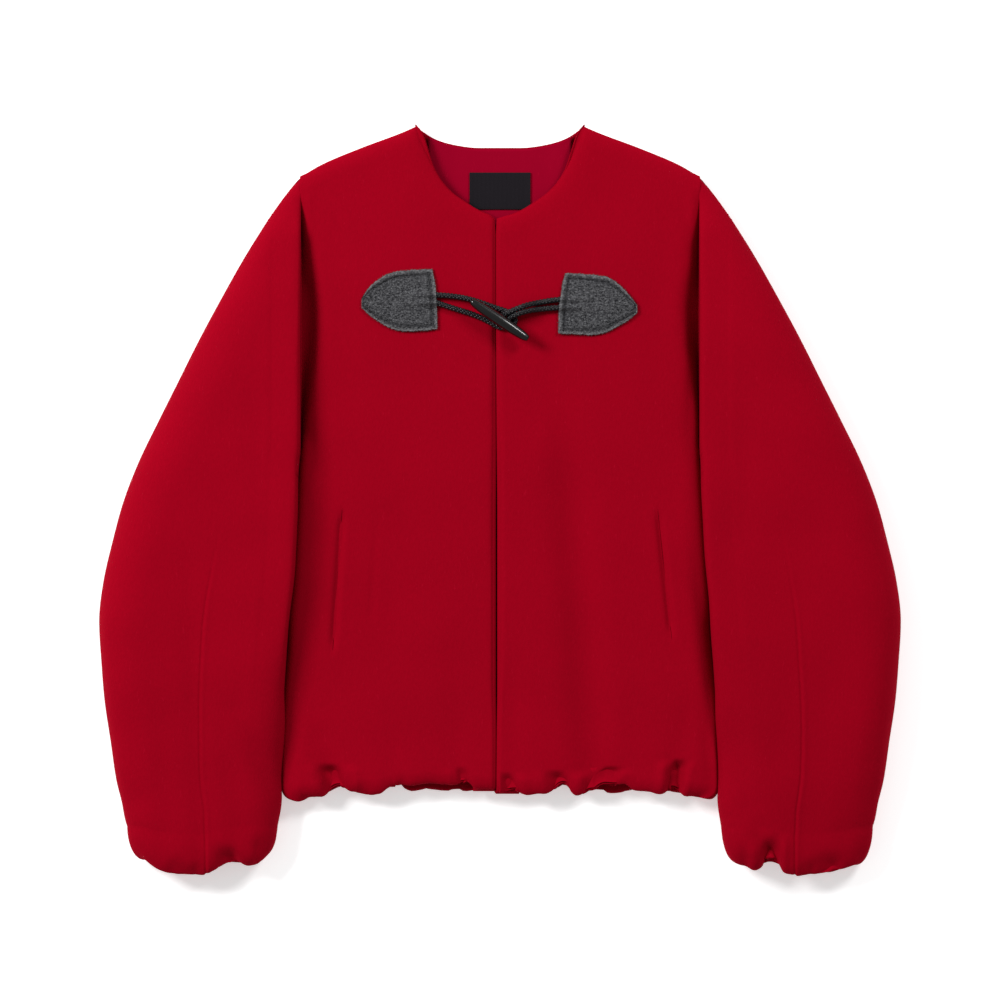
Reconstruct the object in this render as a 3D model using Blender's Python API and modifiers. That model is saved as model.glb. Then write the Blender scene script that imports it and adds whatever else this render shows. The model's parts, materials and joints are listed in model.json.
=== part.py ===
"""A collarless wool blouson with balloon sleeves, laid flat on its back with its front up.

Metres, +Z up, +Y towards the neck, +X towards the sleeve on the right seen from above. The
jacket lies on z = 0. Every cloth piece is one wall of wool: an outer surface worked out from
the tables below, given its thickness inwards. Each half is described in its own half frame,
where q is the distance from the middle of the jacket towards that side.
"""

import math

import bmesh
import bpy
import numpy as np
from mathutils import Matrix, Vector

# Thicknesses and gaps
WOOL = 0.002
FACING_CLOTH = 0.001
LABEL_CLOTH = 0.0008
TWEED = 0.0018
SEAM_GAP = 0.0004
LAY_GAP = 0.0005

# Armhole and the heights at which the pieces are sewn to each other
ARMHOLE_Q = 0.1825
SHOULDER_SEAM_Z = 0.0085
SIDE_SEAM_Z = 0.0075
SIDE_SEAM_TOP, SIDE_SEAM_EASE = 0.045, 0.040

# How far in from an edge the cloth rounds down to it
SIDE_ROUNDING = 0.022
SHOULDER_ROUNDING = 0.016
NECK_ROUNDING = 0.020
NECK_DROP = 0.0035
NECK_POINT_LOWER = 0.0015
CENTRE_ROUNDING = 0.007
CENTRE_DROP = 0.0018
FALL_POWER = 2.2

# The bubble hem: the cloth rolls under to a hidden casing round an open mouth
HEM_ROLL = 0.013
BACK_HEM_ROLL = 0.0033
BACK_HEM_SHORTER = 0.0015
HEM_LIP_Z = 0.0140
BACK_HEM_LIP_Z = 0.006
HEM_CORNER_TURN = 0.016
HEM_CORNER_FROM = 0.62
TURNED_IN = 0.010
BACK_CORNER_FROM = 0.8
HEM_BLEND = 0.25  # share of a panel over which its rows come to follow its hem or cuff

# The cuffs roll under in the same way
CUFF_START_Y = -0.2989
CUFF_ROLL = 0.036
UNDER_CUFF_ROLL = 0.005
UNDER_CUFF_SHORTER = 0.003
CUFF_MOUTH_INSET = 0.030
CUFF_CORNER_Z = 0.0114
CUFF_LIP_Z = 0.0155
UNDER_CUFF_LIP_Z = 0.008

# Below the armhole the sleeve bulges over its own inner seam
OVERHANG_ANGLE = math.radians(30)
OVERHANG_RADIUS = 0.018
SLEEVE_RISE = 0.034
UNDER_ROUNDING = 0.018
HEAD_LOWER = 0.0040  # the under sleeve at the head, so that its wall clears the top sleeve's
HEAD_FROM, HEAD_EASE, HEAD_ROWS = 0.225, 0.030, 0.06
UNDER_RAISED_TO, UNDER_RAISED_EASE = 0.085, 0.030

# Shoulder line, from the neck point to the sleeve head: (q, y)
SHOULDER_LINE = (
    (0.0768, 0.3436),
    (0.0920, 0.3372),
    (0.1288, 0.3234),
    (0.1656, 0.3077),
    (0.1825, 0.2976),
)
SHOULDER_SLOPE = math.radians(23)
SHOULDER_ROWS_FROM = 0.9

# Necklines of the back and of the fronts: (q, y)
BACK_NECKLINE = (
    (0.0000, 0.3243),
    (0.0184, 0.3243),
    (0.0368, 0.3261),
    (0.0552, 0.3307),
    (0.0644, 0.3349),
    (0.0768, 0.3436),
)
FRONT_NECKLINE = (
    (-0.0060, 0.2590),
    (0.0000, 0.2600),
    (0.0184, 0.2663),
    (0.0294, 0.2728),
    (0.0414, 0.2811),
    (0.0515, 0.2912),
    (0.0607, 0.3059),
    (0.0699, 0.3243),
    (0.0754, 0.3372),
    (0.0768, 0.3436),
)

# Edge of each front at the middle of the jacket: (y, q). The left front ends short of the
# middle and the right one passes it a little, so the opening lies left of the middle.
LEFT_CENTRE_EDGE = (
    (-0.2700, 0.0046),
    (-0.1800, 0.0055),
    (0.0000, 0.0055),
    (0.2600, 0.0050),
)
RIGHT_CENTRE_EDGE = (
    (-0.2700, -0.0028),
    (-0.1800, -0.0010),
    (0.0000, -0.0010),
    (0.1200, -0.0022),
    (0.2600, -0.0030),
)

# Side of the body, from the hem to the shoulder: (y, q)
BODY_SIDE = (
    (-0.2760, 0.1990),
    (-0.2489, 0.1992),
    (-0.2121, 0.1985),
    (-0.1753, 0.1976),
    (-0.1385, 0.1960),
    (-0.1017, 0.1930),
    (-0.0649, 0.1897),
    (-0.0097, 0.1865),
    (0.0200, 0.1845),
    (0.0550, ARMHOLE_Q - SEAM_GAP / 2),
    (0.3000, ARMHOLE_Q - SEAM_GAP / 2),
)

# Lowest line of the hem on each half: (q, y)
LEFT_HEM = (
    (0.0046, -0.2673),
    (0.0515, -0.2668),
    (0.0662, -0.2654),
    (0.0810, -0.2673),
    (0.0957, -0.2636),
    (0.1178, -0.2691),
    (0.1472, -0.2663),
    (0.1619, -0.2709),
    (0.1766, -0.2728),
    (0.1840, -0.2765),
    (0.1914, -0.2740),
)
RIGHT_HEM = (
    (-0.0028, -0.2673),
    (0.0221, -0.2691),
    (0.0515, -0.2663),
    (0.0589, -0.2627),
    (0.0699, -0.2709),
    (0.0846, -0.2682),
    (0.1030, -0.2691),
    (0.1214, -0.2673),
    (0.1546, -0.2691),
    (0.1766, -0.2719),
    (0.1914, -0.2746),
)

# Height of the front's outer side over its middle: (y, z)
FRONT_CROWN = (
    (-0.2600, 0.0240),
    (-0.2000, 0.0215),
    (-0.1000, 0.0200),
    (0.0000, 0.0195),
    (0.1000, 0.0190),
    (0.2000, 0.0180),
    (0.2600, 0.0165),
    (0.3000, 0.0155),
    (0.3436, 0.0150),
)

# How deep the front and the sleeve dip to the armhole seam, 0 to 1: (y, share)
ARMHOLE_DIP = (
    (-0.3000, 1.0),
    (0.2350, 1.0),
    (0.2600, 0.75),
    (0.2850, 0.1),
    (0.3000, 0.0),
)

# Height at which the back is sewn to its side: flat at the armhole, raised below it: (y, z)
BACK_SIDE_Z = (
    (-0.3000, SIDE_SEAM_Z - SEAM_GAP),
    (0.0450, SIDE_SEAM_Z - SEAM_GAP),
    (0.0550, 0.0068),
    (0.0850, 0.0),
    (0.3000, 0.0),
)

# Outer edge of the sleeve, seen from above: (y, q)
SLEEVE_OUTLINE = (
    (-0.3060, 0.3395),
    (-0.2949, 0.3436),
    (-0.2765, 0.3473),
    (-0.2581, 0.3519),
    (-0.2213, 0.3574),
    (-0.1845, 0.3629),
    (-0.1477, 0.3660),
    (-0.1109, 0.3680),
    (-0.0741, 0.3640),
    (-0.0373, 0.3556),
    (-0.0005, 0.3455),
    (0.0363, 0.3312),
    (0.0731, 0.3133),
    (0.1099, 0.2949),
    (0.1467, 0.2765),
    (0.1835, 0.2567),
    (0.2203, 0.2360),
    (0.2571, 0.2134),
    (0.2755, 0.2006),
    (0.2852, 0.1932),
    (0.2935, 0.1864),
    (0.2970, ARMHOLE_Q + SEAM_GAP * 3),
)

# Inner edge of the sleeve, seen from above: (y, q)
SLEEVE_INNER = (
    (-0.3060, 0.2045),
    (-0.2949, 0.2029),
    (-0.2765, 0.2012),
    (-0.2489, 0.2029),
    (-0.2121, 0.2010),
    (-0.1753, 0.1983),
    (-0.1385, 0.1955),
    (-0.1017, 0.1923),
    (-0.0649, 0.1888),
    (-0.0097, 0.1858),
    (0.0200, 0.1845),
    (0.0550, ARMHOLE_Q + SEAM_GAP / 2),
    (0.2600, ARMHOLE_Q + SEAM_GAP / 2),
    (0.2900, ARMHOLE_Q + SEAM_GAP * 3),
)

# Height of the sleeve, of its outer seam and of its widest point on the inside: (y, z)
SLEEVE_CROWN = (
    (-0.3060, 0.0350),
    (-0.2500, 0.0385),
    (-0.1500, 0.0410),
    (0.0000, 0.0410),
    (0.1000, 0.0390),
    (0.1800, 0.0345),
    (0.2400, 0.0260),
    (0.2750, 0.0185),
    (0.3000, 0.0155),
)
OUTER_SEAM_Z = (
    (-0.3060, 0.0135),
    (0.1500, 0.0140),
    (0.2500, 0.0105),
    (0.2970, SHOULDER_SEAM_Z),
)
INNER_WIDEST_Z = (
    (-0.3060, 0.0180),
    (0.0100, 0.0180),
    (0.0550, SHOULDER_SEAM_Z),
    (0.2350, SHOULDER_SEAM_Z),
    (0.2600, 0.0105),
    (0.2850, 0.0148),
    (0.3000, 0.0155),
)
OVERHANG_SHARE = (
    (-0.3060, 1.0),
    (0.0100, 1.0),
    (0.0550, 0.0),
    (0.3000, 0.0),
)
OUTER_ROUNDING = (
    (-0.3060, 0.045),
    (0.1500, 0.045),
    (0.2700, 0.016),
    (0.3000, 0.016),
)

# Lowest line of each cuff: (q, y)
LEFT_CUFF = (
    (0.2134, -0.3225),
    (0.2208, -0.3298),
    (0.2282, -0.3345),
    (0.2576, -0.3349),
    (0.2650, -0.3381),
    (0.2723, -0.3430),
    (0.2944, -0.3444),
    (0.3091, -0.3395),
    (0.3165, -0.3353),
    (0.3238, -0.3298),
)
RIGHT_CUFF = (
    (0.2134, -0.3243),
    (0.2208, -0.3326),
    (0.2318, -0.3372),
    (0.2466, -0.3344),
    (0.2650, -0.3409),
    (0.2760, -0.3444),
    (0.3018, -0.3440),
    (0.3091, -0.3418),
    (0.3165, -0.3381),
    (0.3238, -0.3344),
)

# Rows of cloth run from inner_y on the middle or armhole side to outer_y on the far side
FRONT_ROWS = (  # (share, inner_y, outer_y)
    (0.00, -0.2540, -0.2610),
    (0.10, -0.1950, -0.1980),
    (0.55, 0.1000, 0.1000),
    (0.80, 0.2600, 0.2180),
    (1.00, 0.3436, 0.2976),
)
NECKLINE_FROM = 0.80
SLEEVE_ROWS = (  # (share, inner_y, outer_y)
    (0.00, 0.2962, 0.2571),
    (0.20, 0.1800, 0.1650),
    (0.40, 0.0600, 0.0600),
    (1.00, CUFF_START_Y, CUFF_START_Y),
)

# Where the grids have their columns and rows, closer together where the cloth bends. The last
# ones at a seam lie a hair apart, so that the wall there goes straight in from the seam
FRONT_COLUMNS = (
    0, 0.014, 0.06, 0.14, 0.22, 0.30, 0.375, 0.44, 0.52, 0.62, 0.73, 0.83, 0.91, 0.97,
    0.9997, 1,
)
FRONT_STATIONS = (
    -2, -1, -0.75, -0.5, -0.25, 0, 0.06, 0.14, 0.25, 0.36, 0.46, 0.54, 0.62, 0.71, 0.80,
    0.86, 0.92, 0.955, 0.978, 0.992, 0.9999, 1,
)
BACK_COLUMNS = (
    0, 0.0003, 0.02, 0.06, 0.12, 0.2, 0.2872, 0.36, 0.43, 0.5, 0.57, 0.64, 0.7128, 0.8,
    0.88, 0.94, 0.98, 0.9997, 1,
)
BACK_STATIONS = (
    -2, -1, -0.75, -0.5, -0.25, 0, 0.12, 0.3, 0.48, 0.56, 0.66, 0.8, 0.9, 0.955, 0.974,
    0.987, 0.9955, 0.9999, 1,
)
SLEEVE_COLUMNS = (
    0, 0.035, 0.07, 0.1, 0.16, 0.24, 0.35, 0.48, 0.62, 0.76, 0.87, 0.94, 0.98, 0.9996, 1,
)
SLEEVE_STATIONS = (
    -2, -1, -0.78, -0.58, -0.4, -0.2, 0, 0.07, 0.16, 0.27, 0.38, 0.48, 0.56, 0.62, 0.7,
    0.79, 0.87, 0.94, 0.972, 0.99, 0.9998, 1,
)
BULGE_TO = SLEEVE_COLUMNS[3]
UNDER_COLUMNS = (0, 0.0005, 0.03, 0.09, 0.2, 0.4, 0.6, 0.8, 0.9, 0.96, 0.9996, 1)
UNDER_STATIONS = (
    -2, -1, -0.75, -0.5, -0.25, 0, 0.06, 0.2, 0.38, 0.5, 0.57, 0.62, 0.7, 0.82, 0.93,
    0.972, 0.99, 0.9998, 1,
)

# The largest folds: soft troughs from one end to the other, seen from above
FRONT_FOLDS = {  # side: (q1, y1, q2, y2, half width, depth)
    -1: (
        (0.158, -0.242, 0.151, -0.275, 0.006, 0.0020),
        (0.090, 0.060, 0.100, -0.120, 0.022, 0.0010),
    ),
    1: (
        (0.050, 0.110, 0.080, -0.262, 0.015, 0.0030),
        (0.110, -0.248, 0.100, -0.268, 0.008, 0.0020),
        (0.156, -0.242, 0.164, -0.270, 0.006, 0.0020),
    ),
}
SLEEVE_FOLDS = {
    -1: (
        (0.240, -0.195, 0.200, -0.275, 0.011, 0.0030),
        (0.243, -0.312, 0.236, -0.340, 0.007, 0.0030),
        (0.285, -0.060, 0.272, -0.310, 0.010, 0.0012),
    ),
    1: (
        (0.204, -0.180, 0.226, -0.275, 0.013, 0.0030),
        (0.238, -0.300, 0.252, -0.338, 0.008, 0.0040),
        (0.300, -0.090, 0.292, -0.320, 0.022, 0.0020),
    ),
}

# Neck facing and the bare label on it
FACING_REACH = 0.066
FACING_BELOW_NECKLINE = 0.020
FACING_EDGE = 0.0012
FACING_CLEARANCE = 0.0014  # more where the back curves up to the shoulder
FACING_LEVEL_TO, FACING_RISES_OVER = 0.040, 0.020
LABEL_WIDE, LABEL_TALL = 0.056, 0.034
LABEL_TOP_Y = 0.3015

# Pocket slits in the fronts: (q, y) of their upper and lower ends, and the strips behind them
POCKET_TOP = (0.1443, -0.0045)
POCKET_FOOT = {-1: (0.1536, -0.1430), 1: (0.1579, -0.1300)}
POCKET_OPEN = 0.0022
POCKET_FACING_REACH = 0.016
POCKET_FACING_PAST = 0.006
CUTTER_FOOT_Z, CUTTER_TALL = 0.004, 0.050

# Tweed patches, from the straight side to the pointed one: (q, upper y, lower y)
PATCH_EDGES = {
    -1: (
        (0.0621, 0.2121, 0.1573),
        (0.0754, 0.2116, 0.1559),
        (0.0883, 0.2107, 0.1553),
        (0.1017, 0.2079, 0.1578),
        (0.1159, 0.1992, 0.1665),
        (0.1228, 0.1915, 0.1725),
        (0.1268, 0.1835, 0.1772),
    ),
    1: (
        (0.0598, 0.2084, 0.1532),
        (0.0736, 0.2078, 0.1527),
        (0.0880, 0.2065, 0.1519),
        (0.0990, 0.2047, 0.1541),
        (0.1118, 0.1955, 0.1609),
        (0.1205, 0.1858, 0.1670),
        (0.1256, 0.1790, 0.1722),
    ),
}
PATCH_LEAN = {-1: -0.0046, 1: -0.0060}  # the lower corner's q, from the upper one's
PATCH_BOW = 2.5
PATCH_COLUMNS, PATCH_ROWS = 8, 4

# Braided loops and the toggle. A route's rows are (x, y, height of its middle over the cloth)
CORD = 0.0045
ON_CLOTH = CORD / 2 + LAY_GAP
CROSSING = ON_CLOTH + CORD + 0.0010
OPENING_EDGE = 0.008  # cords and toggle cross the opening at the height of the cloth here
LEFT_LOOP = (
    (-0.0582, 0.1884, ON_CLOTH),
    (-0.0460, 0.1876, ON_CLOTH),
    (-0.0350, 0.1861, ON_CLOTH),
    (-0.0245, 0.1836, ON_CLOTH),
    (-0.0133, 0.1800, ON_CLOTH),
    (-0.0045, 0.1768, ON_CLOTH),
    (0.0035, 0.1742, ON_CLOTH),
    (0.0100, 0.1712, ON_CLOTH),
    (0.0136, 0.1675, ON_CLOTH),
    (0.0138, 0.1636, ON_CLOTH),
    (0.0107, 0.1601, ON_CLOTH),
    (0.0050, 0.1584, ON_CLOTH),
    (-0.0015, 0.1592, ON_CLOTH),
    (-0.0090, 0.1633, ON_CLOTH),
    (-0.0175, 0.1676, ON_CLOTH),
    (-0.0271, 0.1714, ON_CLOTH),
    (-0.0410, 0.1757, ON_CLOTH),
    (-0.0571, 0.1810, ON_CLOTH),
)
RIGHT_LOOP = (
    (0.0547, 0.1842, ON_CLOTH),
    (0.0470, 0.1834, ON_CLOTH),
    (0.0394, 0.1821, ON_CLOTH),
    (0.0330, 0.1809, ON_CLOTH + 0.0010),
    (0.0262, 0.1794, ON_CLOTH + 0.0034),
    (0.0190, 0.1770, CROSSING),
    (0.0125, 0.1744, CROSSING),
    (0.0068, 0.1718, CROSSING),
    (0.0030, 0.1700, ON_CLOTH + 0.0036),
    (-0.0006, 0.1687, ON_CLOTH + 0.0012),
    (-0.0024, 0.1676, ON_CLOTH + 0.0002),
    (-0.0031, 0.1659, ON_CLOTH),
    (-0.0012, 0.1640, ON_CLOTH),
    (0.0032, 0.1645, ON_CLOTH + 0.0006),
    (0.0088, 0.1672, CROSSING - 0.0016),
    (0.0150, 0.1702, CROSSING),
    (0.0220, 0.1727, CROSSING - 0.0006),
    (0.0290, 0.1743, ON_CLOTH + 0.0030),
    (0.0370, 0.1753, ON_CLOTH + 0.0006),
    (0.0450, 0.1761, ON_CLOTH),
    (0.0540, 0.1769, ON_CLOTH),
)
TOGGLE_LONG = 0.063
TOGGLE_MIDDLE = (-0.0002, 0.1652)
TOGGLE_TURN = math.radians(-33.7)
TOGGLE_OVER_LOOPS = 0.0020
TOGGLE_PROFILE = (  # (share of the length, radius)
    (0.5, 0.0),
    (0.497, 0.0017),
    (0.485, 0.0027),
    (0.45, 0.0035),
    (0.33, 0.0045),
    (0.15, 0.0052),
    (0.0, 0.0054),
    (-0.15, 0.0052),
    (-0.33, 0.0045),
    (-0.45, 0.0035),
    (-0.485, 0.0027),
    (-0.497, 0.0017),
    (-0.5, 0.0),
)
TOGGLE_SIDES = 14

# Colours as seen, linear, and how rough and metallic each surface is
FINISHES = {
    "red_wool": ((0.310, 0.0010, 0.0086), 0.95, 0.0),
    "crimson_facing": ((0.300, 0.0012, 0.0170), 0.85, 0.0),
    "black_label": ((0.018, 0.017, 0.020), 0.80, 0.0),
    "grey_tweed": ((0.070, 0.070, 0.074), 0.95, 0.0),
    "black_cord": ((0.012, 0.012, 0.014), 0.60, 0.0),
    "black_horn": ((0.010, 0.010, 0.011), 0.25, 0.0),
}


def along(table, at, column=1):
    """A smooth line through the table's rows, which overshoots none of them, at these places."""
    rows = np.array(table, float)
    x, y = rows[:, 0], rows[:, column]
    step = np.diff(x)
    slope = np.diff(y) / step
    tangent = np.concatenate([slope[:1], (slope[:-1] + slope[1:]) / 2, slope[-1:]])
    least = np.minimum(np.abs(slope[:-1]), np.abs(slope[1:])) * 3
    turning = slope[:-1] * slope[1:] <= 0
    tangent[1:-1] = np.where(turning, 0, np.clip(tangent[1:-1], -least, least))
    at = np.clip(at, x[0], x[-1])
    i = np.clip(np.searchsorted(x, at, side="right") - 1, 0, len(x) - 2)
    t = (at - x[i]) / step[i]
    rise = t * t * (3 - 2 * t)
    start_bend = t * (1 - t) ** 2 * step[i] * tangent[i]
    end_bend = t * t * (t - 1) * step[i] * tangent[i + 1]
    return y[i] + rise * (y[i + 1] - y[i]) + start_bend + end_bend


def fall(share):
    """From 0 at an edge to 1 at the end of its rounding, upright at the edge."""
    return (1 - (1 - np.clip(share, 0, 1)) ** FALL_POWER) ** (1 / FALL_POWER)


def ease(share):
    share = np.clip(share, 0, 1)
    return share * share * (3 - 2 * share)


def troughs(folds, q, y):
    """How far these folds lower the cloth."""
    depth = np.zeros_like(q)
    for q1, y1, q2, y2, half_width, deep in folds:
        length = math.hypot(q2 - q1, y2 - y1)
        way = ((q - q1) * (q2 - q1) + (y - y1) * (y2 - y1)) / length
        aside = ((q - q1) * (y2 - y1) - (y - y1) * (q2 - q1)) / length
        share = np.clip(way / length, 0, 1)
        past = way - share * length
        across = np.exp(-((aside / half_width) ** 2))
        ends = np.exp(-((past / (1.5 * half_width)) ** 2))
        depth += deep * across * ends * (0.35 + 0.65 * ease(share * 2))
    return depth


def edge_distance(table, q, y):
    """Distance to an outline given as (y, q), measured square to it."""
    slope = (along(table, y + 0.002) - along(table, y - 0.002)) / 0.004
    return (along(table, y) - q) / np.sqrt(1 + slope**2)


def shoulder_distance(q, y):
    return (along(SHOULDER_LINE, q) - y) * math.cos(SHOULDER_SLOPE)


def neck_distance(q, y):
    """Distance to the front neckline: the height of the triangle cut off by it."""
    rows = [(row[1], row[0]) for row in FRONT_NECKLINE]
    down = np.where(q < FRONT_NECKLINE[-1][0], along(FRONT_NECKLINE, q) - y, 1.0)
    out = np.where(y > FRONT_NECKLINE[0][1], q - along(rows, y), 1.0)
    down, out = np.maximum(down, 1e-6), np.maximum(out, 1e-6)
    return down * out / np.hypot(down, out)


def seam_height(y):
    """Height of the seam on the front's far side: the armhole's, then the side seam's."""
    raised = ease((y - SIDE_SEAM_TOP) / SIDE_SEAM_EASE)
    return SIDE_SEAM_Z + (SHOULDER_SEAM_Z - SIDE_SEAM_Z) * raised


def front_height(q, y, side):
    """Height of the outer side of a front."""
    low = seam_height(y)
    rounding = fall((along(BODY_SIDE, y) - q) / SIDE_ROUNDING)
    dip = along(ARMHOLE_DIP, y)
    z = low + (along(FRONT_CROWN, y) - low) * (1 - dip * (1 - rounding))
    shoulder = fall(shoulder_distance(q, y) / SHOULDER_ROUNDING)
    z = SHOULDER_SEAM_Z + (z - SHOULDER_SEAM_Z) * shoulder
    neck = fall(neck_distance(q, y) / NECK_ROUNDING)
    z = z - NECK_DROP * (1 - neck) * shoulder
    edge = LEFT_CENTRE_EDGE if side < 0 else RIGHT_CENTRE_EDGE
    centre = fall((q - along(edge, y)) / CENTRE_ROUNDING)
    z = z - CENTRE_DROP * (1 - centre)
    return z - troughs(FRONT_FOLDS[side], q, y) * rounding


def back_height(q, y):
    """Height of the underside of the back: on the ground, raised at its sides and shoulders."""
    q = np.abs(q)
    side = fall((along(BODY_SIDE, y) - q) / SIDE_ROUNDING)
    shoulder = fall(shoulder_distance(q, y) / SHOULDER_ROUNDING)
    lowered = NECK_POINT_LOWER * ease(1 - (q - SHOULDER_LINE[0][0]) / SHOULDER_ROUNDING)
    at_shoulder = (SHOULDER_SEAM_Z - SEAM_GAP - lowered) * (1 - shoulder)
    return np.maximum(along(BACK_SIDE_Z, y) * (1 - side), at_shoulder)


def sleeve_height(q, y, side):
    """Height of the outer side of a top sleeve, from its widest line inside to its outer seam."""
    inner = along(INNER_WIDEST_Z, y)
    rise = fall((q - along(SLEEVE_INNER, y)) / SLEEVE_RISE)
    z = inner + (along(SLEEVE_CROWN, y) - inner) * rise
    outer = along(OUTER_SEAM_Z, y)
    rounding = fall(edge_distance(SLEEVE_OUTLINE, q, y) / along(OUTER_ROUNDING, y))
    z = outer + (z - outer) * rounding
    return z - troughs(SLEEVE_FOLDS[side], q, y) * rounding * rise


def under_sleeve_height(q, y):
    """Height of the underside of an under sleeve: on the ground, raised to its two seams."""
    inner_edge = along(SLEEVE_INNER, y) + overhang(y)
    inner = 1 - fall((q - inner_edge) / UNDER_ROUNDING)
    outer = 1 - fall(edge_distance(SLEEVE_OUTLINE, q, y) / SHOULDER_ROUNDING)
    inner_z = inner_seam_height(y) - SEAM_GAP
    raised = inner * inner_z * ease((UNDER_RAISED_TO - y) / UNDER_RAISED_EASE)
    head = ease((y - HEAD_FROM) / HEAD_EASE)
    outer_z = along(OUTER_SEAM_Z, y) - SEAM_GAP - HEAD_LOWER * head
    return np.maximum(raised, outer * outer_z)


def overhang_angle(y):
    return along(OVERHANG_SHARE, y) * OVERHANG_ANGLE


def overhang(y):
    """How far the inner seam of the sleeve lies behind the sleeve's inner edge."""
    return OVERHANG_RADIUS * (1 - np.cos(overhang_angle(y)))


def inner_seam_height(y):
    return along(INNER_WIDEST_Z, y) * (1 - np.sin(overhang_angle(y)))


def roll_under(outer, mouth, low_y, reach, station):
    """The cloth's turn from its outer side to the mouth, and the ply turned in behind it.

    outer and mouth are (q, z) where the turn starts and ends. station is 0 at the start, -1 at
    the mouth and -2 at the end of the turned-in ply.
    """
    angle = math.pi * np.clip(-station, 0, 1)
    share = (1 - np.cos(angle)) / 2
    q = outer[0] + (mouth[0] - outer[0]) * share
    z = outer[1] + (mouth[1] - outer[1]) * share
    y = low_y + reach * (1 - np.sin(angle))
    return q, y + TURNED_IN * np.clip(-station - 1, 0, 1), z


def front_plan(u, station, side):
    """Where a front's point lies seen from above: u runs from the middle edge to the side."""
    v = np.clip(station, 0, 1)
    centre_edge = LEFT_CENTRE_EDGE if side < 0 else RIGHT_CENTRE_EDGE
    inner_y = along(FRONT_ROWS, v)
    outer_y = along(FRONT_ROWS, v, 2)
    neckline = [(row[1], row[0]) for row in FRONT_NECKLINE]
    edge_q = along(centre_edge, inner_y)
    neck_share = (v - NECKLINE_FROM) / (1 - NECKLINE_FROM)
    start_y = along(FRONT_NECKLINE, along(centre_edge, FRONT_NECKLINE[1][1]))
    neck_y = start_y + (FRONT_NECKLINE[-1][1] - start_y) * np.clip(neck_share, 0, 1)
    on_neck = v > NECKLINE_FROM
    inner_q = np.where(on_neck, along(neckline, neck_y), edge_q)
    inner_y = np.where(on_neck, neck_y, inner_y)
    q = inner_q + (along(BODY_SIDE, outer_y) - inner_q) * u
    y = inner_y + (outer_y - inner_y) * u
    to_shoulder = ease((v - SHOULDER_ROWS_FROM) / (1 - SHOULDER_ROWS_FROM))
    return q, y + (along(SHOULDER_LINE, q) - y) * to_shoulder


def front_point(u, station, side):
    hem = LEFT_HEM if side < 0 else RIGHT_HEM
    q, y = front_plan(u, station, side)
    q0, y0 = front_plan(u, np.zeros_like(u), side)
    turn = HEM_CORNER_TURN * ease((u - HEM_CORNER_FROM) / (1 - HEM_CORNER_FROM))
    low_y = along(hem, q0 - turn / 2)
    start_y = low_y + HEM_ROLL
    y = y + (start_y - y0) * np.clip(1 - station / HEM_BLEND, 0, 1) ** 2
    z = front_height(q, y, side)
    z0 = front_height(q0, start_y, side)
    lip = HEM_LIP_Z + (SIDE_SEAM_Z - HEM_LIP_Z) * ease((u - 0.5) / 0.5)
    rolled = roll_under((q0, z0), (q0 - turn, lip), low_y, HEM_ROLL, station)
    return pick(station, (q, y, z), rolled)


def back_point(u, station, side):
    """u runs from one side seam to the other."""
    s = 2 * u - 1
    v = np.clip(station, 0, 1)
    tip_q, tip_y = SHOULDER_LINE[-1]
    tip_q = tip_q - SEAM_GAP / 2
    top_q = np.abs(s) * tip_q
    at_neck = top_q < BACK_NECKLINE[-1][0]
    top_y = np.where(at_neck, along(BACK_NECKLINE, top_q), along(SHOULDER_LINE, top_q))
    seam_low_y = along(LEFT_HEM, BODY_SIDE[1][1] - HEM_CORNER_TURN / 2)
    row_y = seam_low_y + HEM_ROLL + (tip_y - seam_low_y - HEM_ROLL) * v
    corner = ease((np.abs(s) - BACK_CORNER_FROM) / (1 - BACK_CORNER_FROM))
    turn = HEM_CORNER_TURN * corner
    reach = BACK_HEM_ROLL + (HEM_ROLL - BACK_HEM_ROLL) * corner
    q0 = np.abs(s) * along(BODY_SIDE, np.full_like(u, seam_low_y + HEM_ROLL))
    left_low, right_low = along(LEFT_HEM, q0 - turn / 2), along(RIGHT_HEM, q0 - turn / 2)
    low_y = np.where(s < 0, left_low, right_low) + BACK_HEM_SHORTER * (1 - corner)
    start_y = low_y + reach
    y = start_y + (top_y - start_y) * v
    q = np.abs(s) * along(BODY_SIDE, row_y)
    z = back_height(q, y)
    z0 = back_height(q0, start_y)
    lip = BACK_HEM_LIP_Z + (SIDE_SEAM_Z - SEAM_GAP - BACK_HEM_LIP_Z) * corner
    rolled = roll_under((q0, z0), (q0 - turn, lip), low_y, reach, station)
    q, y, z = pick(station, (q, y, z), rolled)
    return q * np.sign(s), y, z


def sleeve_plan(t, v):
    """Seen from above: t runs from the inner edge to the outer one, v from the cuff to the head."""
    w = 1 - v
    inner_y, outer_y = along(SLEEVE_ROWS, w), along(SLEEVE_ROWS, w, 2)
    q = along(SLEEVE_INNER, inner_y)
    q = q + (along(SLEEVE_OUTLINE, outer_y) - q) * t
    y = inner_y + (outer_y - inner_y) * t
    outline = [(row[1], row[0]) for row in reversed(SLEEVE_OUTLINE[7:])]
    to_outline = along(outline, q) - y
    return q, y + to_outline * ease(1 - w / HEAD_ROWS)


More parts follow.
